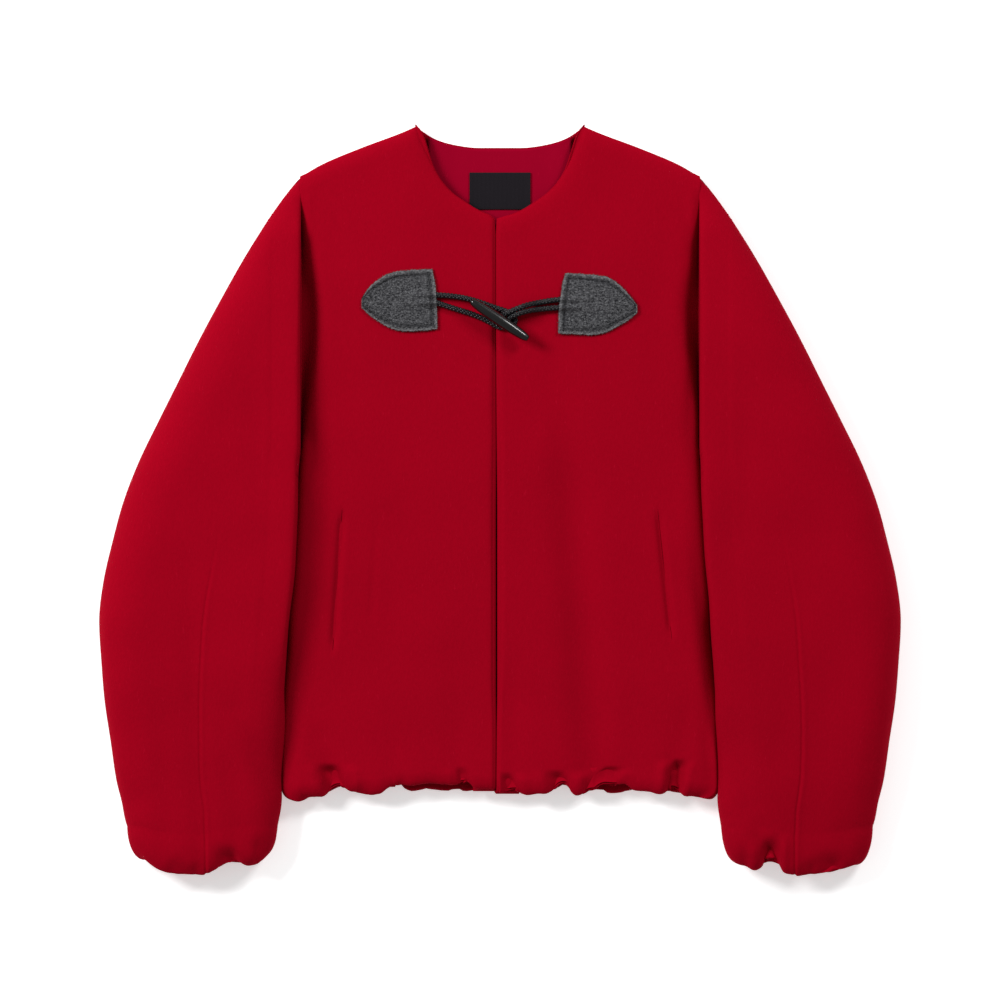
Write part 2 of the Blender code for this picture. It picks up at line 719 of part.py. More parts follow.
def cuff_turn(t, u, side, middle_roll, lip_z, shorter):
    """Where a cuff's roll starts and ends, and its mouth. t is the way across the sleeve where
    the roll starts, and u where it ends.
    """
    cuff = LEFT_CUFF if side < 0 else RIGHT_CUFF
    flat = np.zeros_like(t)
    q0, _ = sleeve_plan(t, flat)
    mouth_q = sleeve_plan(u, flat)[0] + CUFF_MOUTH_INSET * (1 - 2 * u)
    to_corner = (1 - 2 * t) ** 2
    low_y = along(cuff, (q0 + mouth_q) / 2) + shorter * (1 - to_corner)
    start_y = low_y + middle_roll + (CUFF_START_Y - low_y - middle_roll) * to_corner
    corner_z = CUFF_CORNER_Z if lip_z > CUFF_CORNER_Z else CUFF_CORNER_Z - SEAM_GAP
    lip = corner_z + (lip_z - corner_z) * (1 - (1 - 2 * u) ** 2)
    return start_y, low_y, (mouth_q, lip)


def top_sleeve_point(u, station, side):
    """Below the armhole the first part of u goes round the bulge over the inner seam."""
    v = np.clip(station, 0, 1)
    share = along(OVERHANG_SHARE, along(SLEEVE_ROWS, 1 - v))
    bulge = np.maximum(BULGE_TO * share, 1e-9)
    t = np.clip((u - bulge) / (1 - bulge), 0, 1)
    angle = OVERHANG_ANGLE * share * np.clip(1 - u / bulge, 0, 1)
    behind = OVERHANG_RADIUS * (1 - np.cos(angle))
    start_y, low_y, mouth = cuff_turn(t, u, side, CUFF_ROLL, CUFF_LIP_Z, 0)
    q0, y0 = sleeve_plan(t, np.zeros_like(t))
    q, y = sleeve_plan(t, v)
    y = y + (start_y - y0) * np.clip(1 - v / HEM_BLEND, 0, 1) ** 2
    z = sleeve_height(q, y, side) * (1 - np.sin(angle))
    z0 = sleeve_height(q0, start_y, side) * (1 - np.sin(angle))
    rolled = roll_under((q0 + behind, z0), mouth, low_y, start_y - low_y, station)
    return pick(station, (q + behind, y, z), rolled)


def under_sleeve_point(u, station, side):
    v = np.clip(station, 0, 1)
    start_y, low_y, mouth = cuff_turn(
        u, u, side, UNDER_CUFF_ROLL, UNDER_CUFF_LIP_Z, UNDER_CUFF_SHORTER
    )
    q0, y0 = sleeve_plan(u, np.zeros_like(u))
    q, y = sleeve_plan(u, v)
    y = y + (start_y - y0) * np.clip(1 - v / HEM_BLEND, 0, 1) ** 2
    q = q + overhang(y) * (1 - u) ** 2
    q0 = q0 + overhang(start_y) * (1 - u) ** 2
    z = under_sleeve_height(q, y)
    z0 = under_sleeve_height(q0, start_y)
    rolled = roll_under((q0, z0), mouth, low_y, start_y - low_y, station)
    return pick(station, (q, y, z), rolled)


def pick(station, panel, rolled):
    """The panel's points, or those of its roll where the station is below 0."""
    return [np.where(station < 0, turned, flat) for flat, turned in zip(panel, rolled)]


def facing_point(u, station, side):
    q = (2 * u - 1) * FACING_REACH
    top = along(BACK_NECKLINE, np.abs(q)) - FACING_EDGE
    foot = along(FRONT_NECKLINE, np.abs(q)) - FACING_BELOW_NECKLINE
    y = foot + (top - foot) * station
    return q, y, facing_height(q, y)


def facing_height(q, y):
    """Height of the upper side of the neck facing, which lies on the back's inside."""
    slope_q = (back_height(q + 0.001, y) - back_height(q - 0.001, y)) / 0.002
    slope_y = (back_height(q, y + 0.001) - back_height(q, y - 0.001)) / 0.002
    off = (WOOL + SEAM_GAP + FACING_CLOTH) * np.hypot(1, np.hypot(slope_q, slope_y))
    to_shoulder = ease((np.abs(q) - FACING_LEVEL_TO) / FACING_RISES_OVER)
    return back_height(q, y) + off + FACING_CLEARANCE * to_shoulder


def label_point(u, station, side):
    q = (u - 0.5) * LABEL_WIDE
    y = LABEL_TOP_Y - LABEL_TALL * (1 - station)
    return q, y, facing_height(q, y) + SEAM_GAP + LABEL_CLOTH


def patch_point(u, station, side):
    edges = PATCH_EDGES[side]
    q = edges[0][0] + (edges[-1][0] - edges[0][0]) * (1 - (1 - u) ** 1.25)
    upper, lower = along(edges, q), along(edges, q, 2)
    y = lower + (upper - lower) * station
    q = q + PATCH_LEAN[side] * (1 - station**PATCH_BOW) * (1 - u)
    return q, y, front_height(q, y, side) + LAY_GAP + TWEED


def pocket_facing_point(u, station, side):
    """A strip behind the slit, on the inside of the front."""
    top, foot = np.array(POCKET_TOP), np.array(POCKET_FOOT[side])
    way = (top - foot) / np.linalg.norm(top - foot)
    foot = foot - way * POCKET_FACING_PAST
    top = top + way * POCKET_FACING_PAST
    q = foot[0] + (top[0] - foot[0]) * station + (2 * u - 1) * POCKET_FACING_REACH
    y = foot[1] + (top[1] - foot[1]) * station
    return q, y, front_height(q, y, side) - WOOL - LAY_GAP


def finish(name):
    """The material of this name, made on first use."""
    made = bpy.data.materials.get(name)
    if made:
        return made
    colour, roughness, metallic = FINISHES[name]
    made = bpy.data.materials.new(name)
    made.use_nodes = True
    shader = made.node_tree.nodes["Principled BSDF"]
    shader.inputs["Base Color"].default_value = (*colour, 1)
    shader.inputs["Roughness"].default_value = roughness
    shader.inputs["Metallic"].default_value = metallic
    made.diffuse_color = (*colour, 1)
    return made


def add(name, data, collection, material):
    made = bpy.data.objects.new(name, data)
    collection.objects.link(made)
    data.materials.append(finish(material))
    return made


def cloth(name, point, columns, stations, side, thick, underside, collection, material):
    """A piece of cloth: a grid put in place by point(), then given its thickness inwards."""
    grid = bmesh.new()
    across, up = len(columns) - 1, len(stations) - 1
    bmesh.ops.create_grid(grid, x_segments=across, y_segments=up, size=0.5)
    flat = np.array([vertex.co[:2] for vertex in grid.verts]) + 0.5
    u = np.interp(flat[:, 0] * across, np.arange(across + 1), columns)
    station = np.interp(flat[:, 1] * up, np.arange(up + 1), stations)
    q, y, z = point(u, station, side)
    for vertex, place in zip(grid.verts, zip(q * (side or 1), y, z)):
        vertex.co = place
    if (side < 0) != underside:
        bmesh.ops.reverse_faces(grid, faces=grid.faces)
    mesh = bpy.data.meshes.new(name)
    grid.to_mesh(mesh)
    grid.free()
    mesh.shade_smooth()
    made = add(name, mesh, collection, material)
    wall = made.modifiers.new("Wall", "SOLIDIFY")
    wall.thickness = thick
    wall.offset = -1
    return made


def evenly(count):
    return [i / count for i in range(count + 1)]


def slit(name, side, piece, cutters):
    """Cuts the pocket's opening, a long narrow lens, through a front."""
    top, foot = Vector(POCKET_TOP), Vector(POCKET_FOOT[side])
    lens = bmesh.new()
    bmesh.ops.create_circle(lens, cap_ends=True, segments=20, radius=1)
    grown = bmesh.ops.extrude_face_region(lens, geom=lens.faces[:])
    raised = [item for item in grown["geom"] if isinstance(item, bmesh.types.BMVert)]
    bmesh.ops.translate(lens, vec=(0, 0, 1), verts=raised)
    bmesh.ops.recalc_face_normals(lens, faces=lens.faces)
    way = top - foot
    lean = math.atan2(-way.x * side, way.y)
    size = Matrix.Diagonal((POCKET_OPEN / 2, way.length / 2, CUTTER_TALL, 1))
    middle = (top + foot) / 2
    place = Matrix.Translation((middle.x * side, middle.y, CUTTER_FOOT_Z))
    turn = Matrix.Rotation(lean, 4, "Z")
    bmesh.ops.transform(lens, matrix=place @ turn @ size, verts=lens.verts)
    mesh = bpy.data.meshes.new(name)
    lens.to_mesh(mesh)
    lens.free()
    cutter = bpy.data.objects.new(name, mesh)
    cutters.objects.link(cutter)
    cutter.hide_render = True
    cutter.display_type = "WIRE"
    cut = piece.modifiers.new("Pocket", "BOOLEAN")
    cut.object = cutter
    cut.operation = "DIFFERENCE"


def cloth_under(x, y):
    """Height of the fronts at this place, level across the opening between them."""
    side = -1 if x < 0 else 1
    q = np.array([max(abs(x), OPENING_EDGE)])
    return float(front_height(q, np.array([y]), side)[0])


def cord(name, route, collection):
    """A braided cord along its route, through a smooth curve read every two diameters or so."""
    points = [Vector((x, y, cloth_under(x, y) + over)) for x, y, over in route]
    lengths = [0.0]
    for a, b in zip(points, points[1:]):
        lengths.append(lengths[-1] + (b - a).length)
    count = round(lengths[-1] / (1.3 * CORD))
    curve = bpy.data.curves.new(name, "CURVE")
    curve.dimensions = "3D"
    curve.bevel_depth = CORD / 2
    curve.bevel_resolution = 2
    curve.use_fill_caps = True
    line = curve.splines.new("POLY")
    line.points.add(count)
    tables = [[(s, p[i]) for s, p in zip(lengths, points)] for i in range(3)]
    for i, point in enumerate(line.points):
        at = np.array([lengths[-1] * i / count])
        point.co = (*(float(along(table, at)[0]) for table in tables), 1)
    return add(name, curve, collection, "black_cord")


def toggle(collection):
    profile = bpy.data.meshes.new("toggle")
    points = [(radius, 0, share * TOGGLE_LONG) for share, radius in TOGGLE_PROFILE]
    profile.from_pydata(points, [(i, i + 1) for i in range(len(points) - 1)], [])
    made = add("toggle", profile, collection, "black_horn")
    turned = made.modifiers.new("Turned", "SCREW")
    turned.steps = TOGGLE_SIDES
    turned.render_steps = TOGGLE_SIDES
    turned.use_merge_vertices = True
    turned.merge_threshold = 0.0001
    x, y = TOGGLE_MIDDLE
    middle_radius = max(radius for _, radius in TOGGLE_PROFILE)
    over = ON_CLOTH + CORD / 2 + TOGGLE_OVER_LOOPS + middle_radius
    made.location = (x, y, cloth_under(x, y) + over)
    made.rotation_euler = (0, math.pi / 2, TOGGLE_TURN)
    return made


def main():
    for old in list(bpy.data.objects):
        bpy.data.objects.remove(old)
    jacket = bpy.data.collections.new("wool_blouson")
    cutters = bpy.data.collections.new("cutters")
    for collection in (jacket, cutters):
        bpy.context.scene.collection.children.link(collection)

    def wool(name, point, columns, stations, side, underside):
        return cloth(
            name, point, columns, stations, side, WOOL, underside, jacket, "red_wool"
        )

    wool("back", back_point, BACK_COLUMNS, BACK_STATIONS, 0, True)
    for side, hand in ((-1, "left"), (1, "right")):
        front = wool(f"front_{hand}", front_point, FRONT_COLUMNS, FRONT_STATIONS, side, False)
        slit(f"pocket_cutter_{hand}", side, front, cutters)
        wool(f"sleeve_{hand}_top", top_sleeve_point, SLEEVE_COLUMNS, SLEEVE_STATIONS, side, False)
        wool(f"sleeve_{hand}_under", under_sleeve_point, UNDER_COLUMNS, UNDER_STATIONS, side, True)
        cloth(
            f"pocket_facing_{hand}", pocket_facing_point, evenly(2), evenly(6), side,
            FACING_CLOTH, False, jacket, "red_wool",
        )
        cloth(
            f"patch_{hand}", patch_point, evenly(PATCH_COLUMNS), evenly(PATCH_ROWS), side,
            TWEED, False, jacket, "grey_tweed",
        )
    cloth(
        "back_neck_facing", facing_point, evenly(12), evenly(4), 0,
        FACING_CLOTH, False, jacket, "crimson_facing",
    )
    cloth("label", label_point, evenly(2), evenly(1), 0, LABEL_CLOTH, False, jacket, "black_label")
    cord("cord_loop_left", LEFT_LOOP, jacket)
    cord("cord_loop_right", RIGHT_LOOP, jacket)
    toggle(jacket)


main()
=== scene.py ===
"""The looks of a collarless wool blouson with balloon sleeves, laid flat with its front up.

Metres, +Z up, +Y towards the neck. Each half is described in its own half frame, where q is the
distance from the middle of the jacket towards that side. The tables and the surfaces are those
of the model that this script dresses, read here on much finer grids.
"""

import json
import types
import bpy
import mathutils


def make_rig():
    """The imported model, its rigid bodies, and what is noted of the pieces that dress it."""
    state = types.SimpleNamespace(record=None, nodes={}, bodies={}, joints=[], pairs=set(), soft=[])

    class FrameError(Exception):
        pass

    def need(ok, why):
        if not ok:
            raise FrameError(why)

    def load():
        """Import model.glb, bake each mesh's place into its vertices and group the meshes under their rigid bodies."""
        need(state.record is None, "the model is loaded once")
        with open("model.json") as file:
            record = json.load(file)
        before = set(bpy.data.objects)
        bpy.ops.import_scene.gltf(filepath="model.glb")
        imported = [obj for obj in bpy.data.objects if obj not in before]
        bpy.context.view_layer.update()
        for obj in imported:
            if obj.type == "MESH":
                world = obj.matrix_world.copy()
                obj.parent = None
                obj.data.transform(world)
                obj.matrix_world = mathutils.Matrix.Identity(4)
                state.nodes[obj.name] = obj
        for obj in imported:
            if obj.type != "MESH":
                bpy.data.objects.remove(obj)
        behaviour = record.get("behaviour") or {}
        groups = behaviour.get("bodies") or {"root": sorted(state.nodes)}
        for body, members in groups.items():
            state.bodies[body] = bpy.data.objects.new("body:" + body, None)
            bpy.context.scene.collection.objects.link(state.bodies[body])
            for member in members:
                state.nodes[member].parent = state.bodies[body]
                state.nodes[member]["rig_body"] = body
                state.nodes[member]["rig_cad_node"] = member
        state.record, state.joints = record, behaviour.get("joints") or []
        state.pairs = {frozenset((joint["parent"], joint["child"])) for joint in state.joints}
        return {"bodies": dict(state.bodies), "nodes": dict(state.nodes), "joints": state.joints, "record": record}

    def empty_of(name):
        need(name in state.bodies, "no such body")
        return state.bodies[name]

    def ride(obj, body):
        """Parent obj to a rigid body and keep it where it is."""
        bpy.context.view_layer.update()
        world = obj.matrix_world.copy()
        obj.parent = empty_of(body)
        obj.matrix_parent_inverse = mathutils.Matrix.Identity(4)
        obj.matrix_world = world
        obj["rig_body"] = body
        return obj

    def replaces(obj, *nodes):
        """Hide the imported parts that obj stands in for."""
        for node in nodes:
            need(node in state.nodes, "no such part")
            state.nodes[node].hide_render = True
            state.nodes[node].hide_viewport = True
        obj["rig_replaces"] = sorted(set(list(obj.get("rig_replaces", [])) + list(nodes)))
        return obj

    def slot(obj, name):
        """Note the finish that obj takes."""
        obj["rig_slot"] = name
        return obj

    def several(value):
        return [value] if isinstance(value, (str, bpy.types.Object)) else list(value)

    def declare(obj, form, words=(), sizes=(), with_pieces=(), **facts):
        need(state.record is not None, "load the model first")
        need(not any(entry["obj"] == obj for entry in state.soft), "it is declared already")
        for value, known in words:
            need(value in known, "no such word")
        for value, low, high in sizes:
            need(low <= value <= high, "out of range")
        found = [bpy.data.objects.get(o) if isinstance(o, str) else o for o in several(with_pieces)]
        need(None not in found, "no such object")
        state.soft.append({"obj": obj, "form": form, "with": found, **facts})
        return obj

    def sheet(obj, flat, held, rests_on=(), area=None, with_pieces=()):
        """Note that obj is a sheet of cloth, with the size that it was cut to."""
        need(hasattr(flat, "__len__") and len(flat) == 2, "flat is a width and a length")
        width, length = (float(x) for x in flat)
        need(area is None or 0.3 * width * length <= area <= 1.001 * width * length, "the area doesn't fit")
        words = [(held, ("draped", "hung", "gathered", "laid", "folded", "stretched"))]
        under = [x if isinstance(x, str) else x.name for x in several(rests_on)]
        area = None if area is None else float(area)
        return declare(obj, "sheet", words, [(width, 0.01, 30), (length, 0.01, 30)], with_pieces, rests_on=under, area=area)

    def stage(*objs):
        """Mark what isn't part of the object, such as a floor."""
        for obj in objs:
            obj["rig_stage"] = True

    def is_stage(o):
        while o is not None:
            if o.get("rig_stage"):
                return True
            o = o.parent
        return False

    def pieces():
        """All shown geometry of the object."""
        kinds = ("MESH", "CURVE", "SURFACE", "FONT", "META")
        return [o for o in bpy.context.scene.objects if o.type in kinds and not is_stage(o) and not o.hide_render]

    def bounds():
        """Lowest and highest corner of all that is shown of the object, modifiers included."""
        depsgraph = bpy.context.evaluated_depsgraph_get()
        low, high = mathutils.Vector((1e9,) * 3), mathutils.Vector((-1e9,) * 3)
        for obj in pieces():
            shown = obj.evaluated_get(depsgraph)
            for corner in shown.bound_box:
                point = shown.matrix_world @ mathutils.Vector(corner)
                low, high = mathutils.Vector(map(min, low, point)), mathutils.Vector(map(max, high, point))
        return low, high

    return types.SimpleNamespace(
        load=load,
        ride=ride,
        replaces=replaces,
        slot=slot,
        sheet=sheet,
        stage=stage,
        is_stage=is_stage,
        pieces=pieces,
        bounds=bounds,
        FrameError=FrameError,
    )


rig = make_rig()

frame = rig.load()
FRAME_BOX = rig.bounds()

import json
import math

import bmesh
import bpy
import numpy as np
from mathutils import Matrix, Vector

# Thicknesses and gaps
WOOL = 0.002
FACING_CLOTH = 0.001
LABEL_CLOTH = 0.0008
TWEED = 0.0018
SEAM_GAP = 0.0004
LAY_GAP = 0.0005

# Armhole and the heights at which the pieces are sewn to each other
ARMHOLE_Q = 0.1825
SHOULDER_SEAM_Z = 0.0085
SIDE_SEAM_Z = 0.0075
SIDE_SEAM_TOP, SIDE_SEAM_EASE = 0.045, 0.040

# How far in from an edge the cloth rounds down to it
SIDE_ROUNDING = 0.022
SHOULDER_ROUNDING = 0.016
NECK_ROUNDING = 0.020
NECK_DROP = 0.0035
NECK_POINT_LOWER = 0.0015
CENTRE_ROUNDING = 0.007
CENTRE_DROP = 0.0018
FALL_POWER = 2.2

# The bubble hem: the cloth rolls under to a hidden casing round an open mouth
HEM_ROLL = 0.013
BACK_HEM_ROLL = 0.0033
BACK_HEM_SHORTER = 0.0015
HEM_LIP_Z = 0.0140
BACK_HEM_LIP_Z = 0.006
HEM_CORNER_TURN = 0.016
HEM_CORNER_FROM = 0.62
TURNED_IN = 0.010
BACK_CORNER_FROM = 0.8
HEM_BLEND = 0.25  # share of a panel over which its rows come to follow its hem or cuff

# The cuffs roll under in the same way
CUFF_START_Y = -0.2989
CUFF_ROLL = 0.036
UNDER_CUFF_ROLL = 0.005
UNDER_CUFF_SHORTER = 0.003
CUFF_MOUTH_INSET = 0.030
CUFF_CORNER_Z = 0.0114
CUFF_LIP_Z = 0.0155
UNDER_CUFF_LIP_Z = 0.008

# Below the armhole the sleeve bulges over its own inner seam
OVERHANG_ANGLE = math.radians(30)
OVERHANG_RADIUS = 0.018
SLEEVE_RISE = 0.034
UNDER_ROUNDING = 0.018
HEAD_LOWER = 0.0040  # the under sleeve at the head, so that its wall clears the top sleeve's
HEAD_FROM, HEAD_EASE, HEAD_ROWS = 0.225, 0.030, 0.06
UNDER_RAISED_TO, UNDER_RAISED_EASE = 0.085, 0.030

# Shoulder line, from the neck point to the sleeve head: (q, y)
SHOULDER_LINE = (
    (0.0768, 0.3436),
    (0.0920, 0.3372),
    (0.1288, 0.3234),
    (0.1656, 0.3077),
    (0.1825, 0.2976),
)
SHOULDER_SLOPE = math.radians(23)
SHOULDER_ROWS_FROM = 0.9

# Necklines of the back and of the fronts: (q, y)
BACK_NECKLINE = (
    (0.0000, 0.3243),
    (0.0184, 0.3243),
    (0.0368, 0.3261),
    (0.0552, 0.3307),
    (0.0644, 0.3349),
    (0.0768, 0.3436),
)
FRONT_NECKLINE = (
    (-0.0060, 0.2590),
    (0.0000, 0.2600),
    (0.0184, 0.2663),
    (0.0294, 0.2728),
    (0.0414, 0.2811),
    (0.0515, 0.2912),
    (0.0607, 0.3059),
    (0.0699, 0.3243),
    (0.0754, 0.3372),
    (0.0768, 0.3436),
)

# Edge of each front at the middle of the jacket: (y, q). The left front ends short of the
# middle and the right one passes it a little, so the opening lies left of the middle.
LEFT_CENTRE_EDGE = (
    (-0.2700, 0.0046),
    (-0.1800, 0.0055),
    (0.0000, 0.0055),
    (0.2600, 0.0050),
)
RIGHT_CENTRE_EDGE = (
    (-0.2700, -0.0028),
    (-0.1800, -0.0010),
    (0.0000, -0.0010),
    (0.1200, -0.0022),
    (0.2600, -0.0030),
)

# Side of the body, from the hem to the shoulder: (y, q)
BODY_SIDE = (
    (-0.2760, 0.1990),
    (-0.2489, 0.1992),
    (-0.2121, 0.1985),
    (-0.1753, 0.1976),
    (-0.1385, 0.1960),
    (-0.1017, 0.1930),
    (-0.0649, 0.1897),
    (-0.0097, 0.1865),
    (0.0200, 0.1845),
    (0.0550, ARMHOLE_Q - SEAM_GAP / 2),
    (0.3000, ARMHOLE_Q - SEAM_GAP / 2),
)

# Lowest line of the hem on each half: (q, y)
LEFT_HEM = (
    (0.0046, -0.2673),
    (0.0515, -0.2668),
    (0.0662, -0.2654),
    (0.0810, -0.2673),
    (0.0957, -0.2636),
    (0.1178, -0.2691),
    (0.1472, -0.2663),
    (0.1619, -0.2709),
    (0.1766, -0.2728),
    (0.1840, -0.2765),
    (0.1914, -0.2740),
)
RIGHT_HEM = (
    (-0.0028, -0.2673),
    (0.0221, -0.2691),
    (0.0515, -0.2663),
    (0.0589, -0.2627),
    (0.0699, -0.2709),
    (0.0846, -0.2682),
    (0.1030, -0.2691),
    (0.1214, -0.2673),
    (0.1546, -0.2691),
    (0.1766, -0.2719),
    (0.1914, -0.2746),
)

# Height of the front's outer side over its middle: (y, z)
FRONT_CROWN = (
    (-0.2600, 0.0240),
    (-0.2000, 0.0215),
    (-0.1000, 0.0200),
    (0.0000, 0.0195),
    (0.1000, 0.0190),
    (0.2000, 0.0180),
    (0.2600, 0.0165),
    (0.3000, 0.0155),
    (0.3436, 0.0150),
)

# How deep the front and the sleeve dip to the armhole seam, 0 to 1: (y, share)
ARMHOLE_DIP = (
    (-0.3000, 1.0),
    (0.2350, 1.0),
    (0.2600, 0.75),
    (0.2850, 0.1),
    (0.3000, 0.0),
)

# Height at which the back is sewn to its side: flat at the armhole, raised below it: (y, z)
BACK_SIDE_Z = (
    (-0.3000, SIDE_SEAM_Z - SEAM_GAP),
    (0.0450, SIDE_SEAM_Z - SEAM_GAP),
    (0.0550, 0.0068),
    (0.0850, 0.0),
    (0.3000, 0.0),
)

# Outer edge of the sleeve, seen from above: (y, q)
SLEEVE_OUTLINE = (
    (-0.3060, 0.3395),
    (-0.2949, 0.3436),
    (-0.2765, 0.3473),
    (-0.2581, 0.3519),
    (-0.2213, 0.3574),
    (-0.1845, 0.3629),
    (-0.1477, 0.3660),
    (-0.1109, 0.3680),
    (-0.0741, 0.3640),
    (-0.0373, 0.3556),
    (-0.0005, 0.3455),
    (0.0363, 0.3312),
    (0.0731, 0.3133),
    (0.1099, 0.2949),
    (0.1467, 0.2765),
    (0.1835, 0.2567),
    (0.2203, 0.2360),
    (0.2571, 0.2134),
    (0.2755, 0.2006),
    (0.2852, 0.1932),
    (0.2935, 0.1864),
    (0.2970, ARMHOLE_Q + SEAM_GAP * 3),
)

# Inner edge of the sleeve, seen from above: (y, q)
SLEEVE_INNER = (
    (-0.3060, 0.2045),
    (-0.2949, 0.2029),
    (-0.2765, 0.2012),
    (-0.2489, 0.2029),
    (-0.2121, 0.2010),
    (-0.1753, 0.1983),
    (-0.1385, 0.1955),
    (-0.1017, 0.1923),
    (-0.0649, 0.1888),
    (-0.0097, 0.1858),
    (0.0200, 0.1845),
    (0.0550, ARMHOLE_Q + SEAM_GAP / 2),
    (0.2600, ARMHOLE_Q + SEAM_GAP / 2),
    (0.2900, ARMHOLE_Q + SEAM_GAP * 3),
)

# Height of the sleeve, of its outer seam and of its widest point on the inside: (y, z)
SLEEVE_CROWN = (
    (-0.3060, 0.0350),
    (-0.2500, 0.0385),
    (-0.1500, 0.0410),
    (0.0000, 0.0410),
    (0.1000, 0.0390),
    (0.1800, 0.0345),
    (0.2400, 0.0260),
    (0.2750, 0.0185),
    (0.3000, 0.0155),
)
OUTER_SEAM_Z = (
    (-0.3060, 0.0135),
    (0.1500, 0.0140),
    (0.2500, 0.0105),
    (0.2970, SHOULDER_SEAM_Z),
)
INNER_WIDEST_Z = (
    (-0.3060, 0.0180),
    (0.0100, 0.0180),
    (0.0550, SHOULDER_SEAM_Z),
    (0.2350, SHOULDER_SEAM_Z),
    (0.2600, 0.0105),
    (0.2850, 0.0148),
    (0.3000, 0.0155),
)
OVERHANG_SHARE = (
    (-0.3060, 1.0),
    (0.0100, 1.0),
    (0.0550, 0.0),
    (0.3000, 0.0),
)
OUTER_ROUNDING = (
    (-0.3060, 0.045),
    (0.1500, 0.045),
    (0.2700, 0.016),
    (0.3000, 0.016),
)

# Lowest line of each cuff: (q, y)
LEFT_CUFF = (
    (0.2134, -0.3225),
    (0.2208, -0.3298),
    (0.2282, -0.3345),
    (0.2576, -0.3349),
    (0.2650, -0.3381),
    (0.2723, -0.3430),
    (0.2944, -0.3444),
    (0.3091, -0.3395),
    (0.3165, -0.3353),
    (0.3238, -0.3298),
)
RIGHT_CUFF = (
    (0.2134, -0.3243),
    (0.2208, -0.3326),
    (0.2318, -0.3372),
    (0.2466, -0.3344),
    (0.2650, -0.3409),
    (0.2760, -0.3444),
    (0.3018, -0.3440),
    (0.3091, -0.3418),
    (0.3165, -0.3381),
    (0.3238, -0.3344),
)

# Rows of cloth run from inner_y on the middle or armhole side to outer_y on the far side
FRONT_ROWS = (  # (share, inner_y, outer_y)
    (0.00, -0.2540, -0.2610),
    (0.10, -0.1950, -0.1980),
    (0.55, 0.1000, 0.1000),
    (0.80, 0.2600, 0.2180),
    (1.00, 0.3436, 0.2976),
)
NECKLINE_FROM = 0.80
SLEEVE_ROWS = (  # (share, inner_y, outer_y)
    (0.00, 0.2962, 0.2571),
    (0.20, 0.1800, 0.1650),
    (0.40, 0.0600, 0.0600),
    (1.00, CUFF_START_Y, CUFF_START_Y),
)

# The largest folds: soft troughs from one end to the other, seen from above
FRONT_FOLDS = {  # side: (q1, y1, q2, y2, half width, depth)
    -1: (
        (0.158, -0.242, 0.151, -0.275, 0.006, 0.0020),
        (0.090, 0.060, 0.100, -0.120, 0.022, 0.0010),
    ),
    1: (
        (0.050, 0.110, 0.080, -0.262, 0.015, 0.0030),
        (0.110, -0.248, 0.100, -0.268, 0.008, 0.0020),
        (0.156, -0.242, 0.164, -0.270, 0.006, 0.0020),
    ),
}
SLEEVE_FOLDS = {
    -1: (
        (0.240, -0.195, 0.200, -0.275, 0.011, 0.0030),
        (0.243, -0.312, 0.236, -0.340, 0.007, 0.0030),
        (0.285, -0.060, 0.272, -0.310, 0.010, 0.0012),
    ),
    1: (
        (0.204, -0.180, 0.226, -0.275, 0.013, 0.0030),
        (0.238, -0.300, 0.252, -0.338, 0.008, 0.0040),
        (0.300, -0.090, 0.292, -0.320, 0.022, 0.0020),
    ),
}

# Neck facing and the bare label on it
FACING_REACH = 0.066
FACING_BELOW_NECKLINE = 0.020
FACING_EDGE = 0.0012
FACING_CLEARANCE = 0.0014  # more where the back curves up to the shoulder
FACING_LEVEL_TO, FACING_RISES_OVER = 0.040, 0.020
LABEL_WIDE, LABEL_TALL = 0.056, 0.034
LABEL_TOP_Y = 0.3015

# Pocket slits in the fronts: (q, y) of their upper and lower ends, and the strips behind them
POCKET_TOP = (0.1443, -0.0045)
POCKET_FOOT = {-1: (0.1536, -0.1430), 1: (0.1579, -0.1300)}
POCKET_FACING_REACH = 0.016
POCKET_FACING_PAST = 0.006

# Tweed patches, from the straight side to the pointed one: (q, upper y, lower y)
PATCH_EDGES = {
    -1: (
        (0.0621, 0.2121, 0.1573),
        (0.0754, 0.2116, 0.1559),
        (0.0883, 0.2107, 0.1553),
        (0.1017, 0.2079, 0.1578),
        (0.1159, 0.1992, 0.1665),
        (0.1228, 0.1915, 0.1725),
        (0.1268, 0.1835, 0.1772),
    ),
    1: (
        (0.0598, 0.2084, 0.1532),
        (0.0736, 0.2078, 0.1527),
        (0.0880, 0.2065, 0.1519),
        (0.0990, 0.2047, 0.1541),
        (0.1118, 0.1955, 0.1609),
        (0.1205, 0.1858, 0.1670),
        (0.1256, 0.1790, 0.1722),
    ),
}
PATCH_LEAN = {-1: -0.0046, 1: -0.0060}  # the lower corner's q, from the upper one's
PATCH_BOW = 2.5

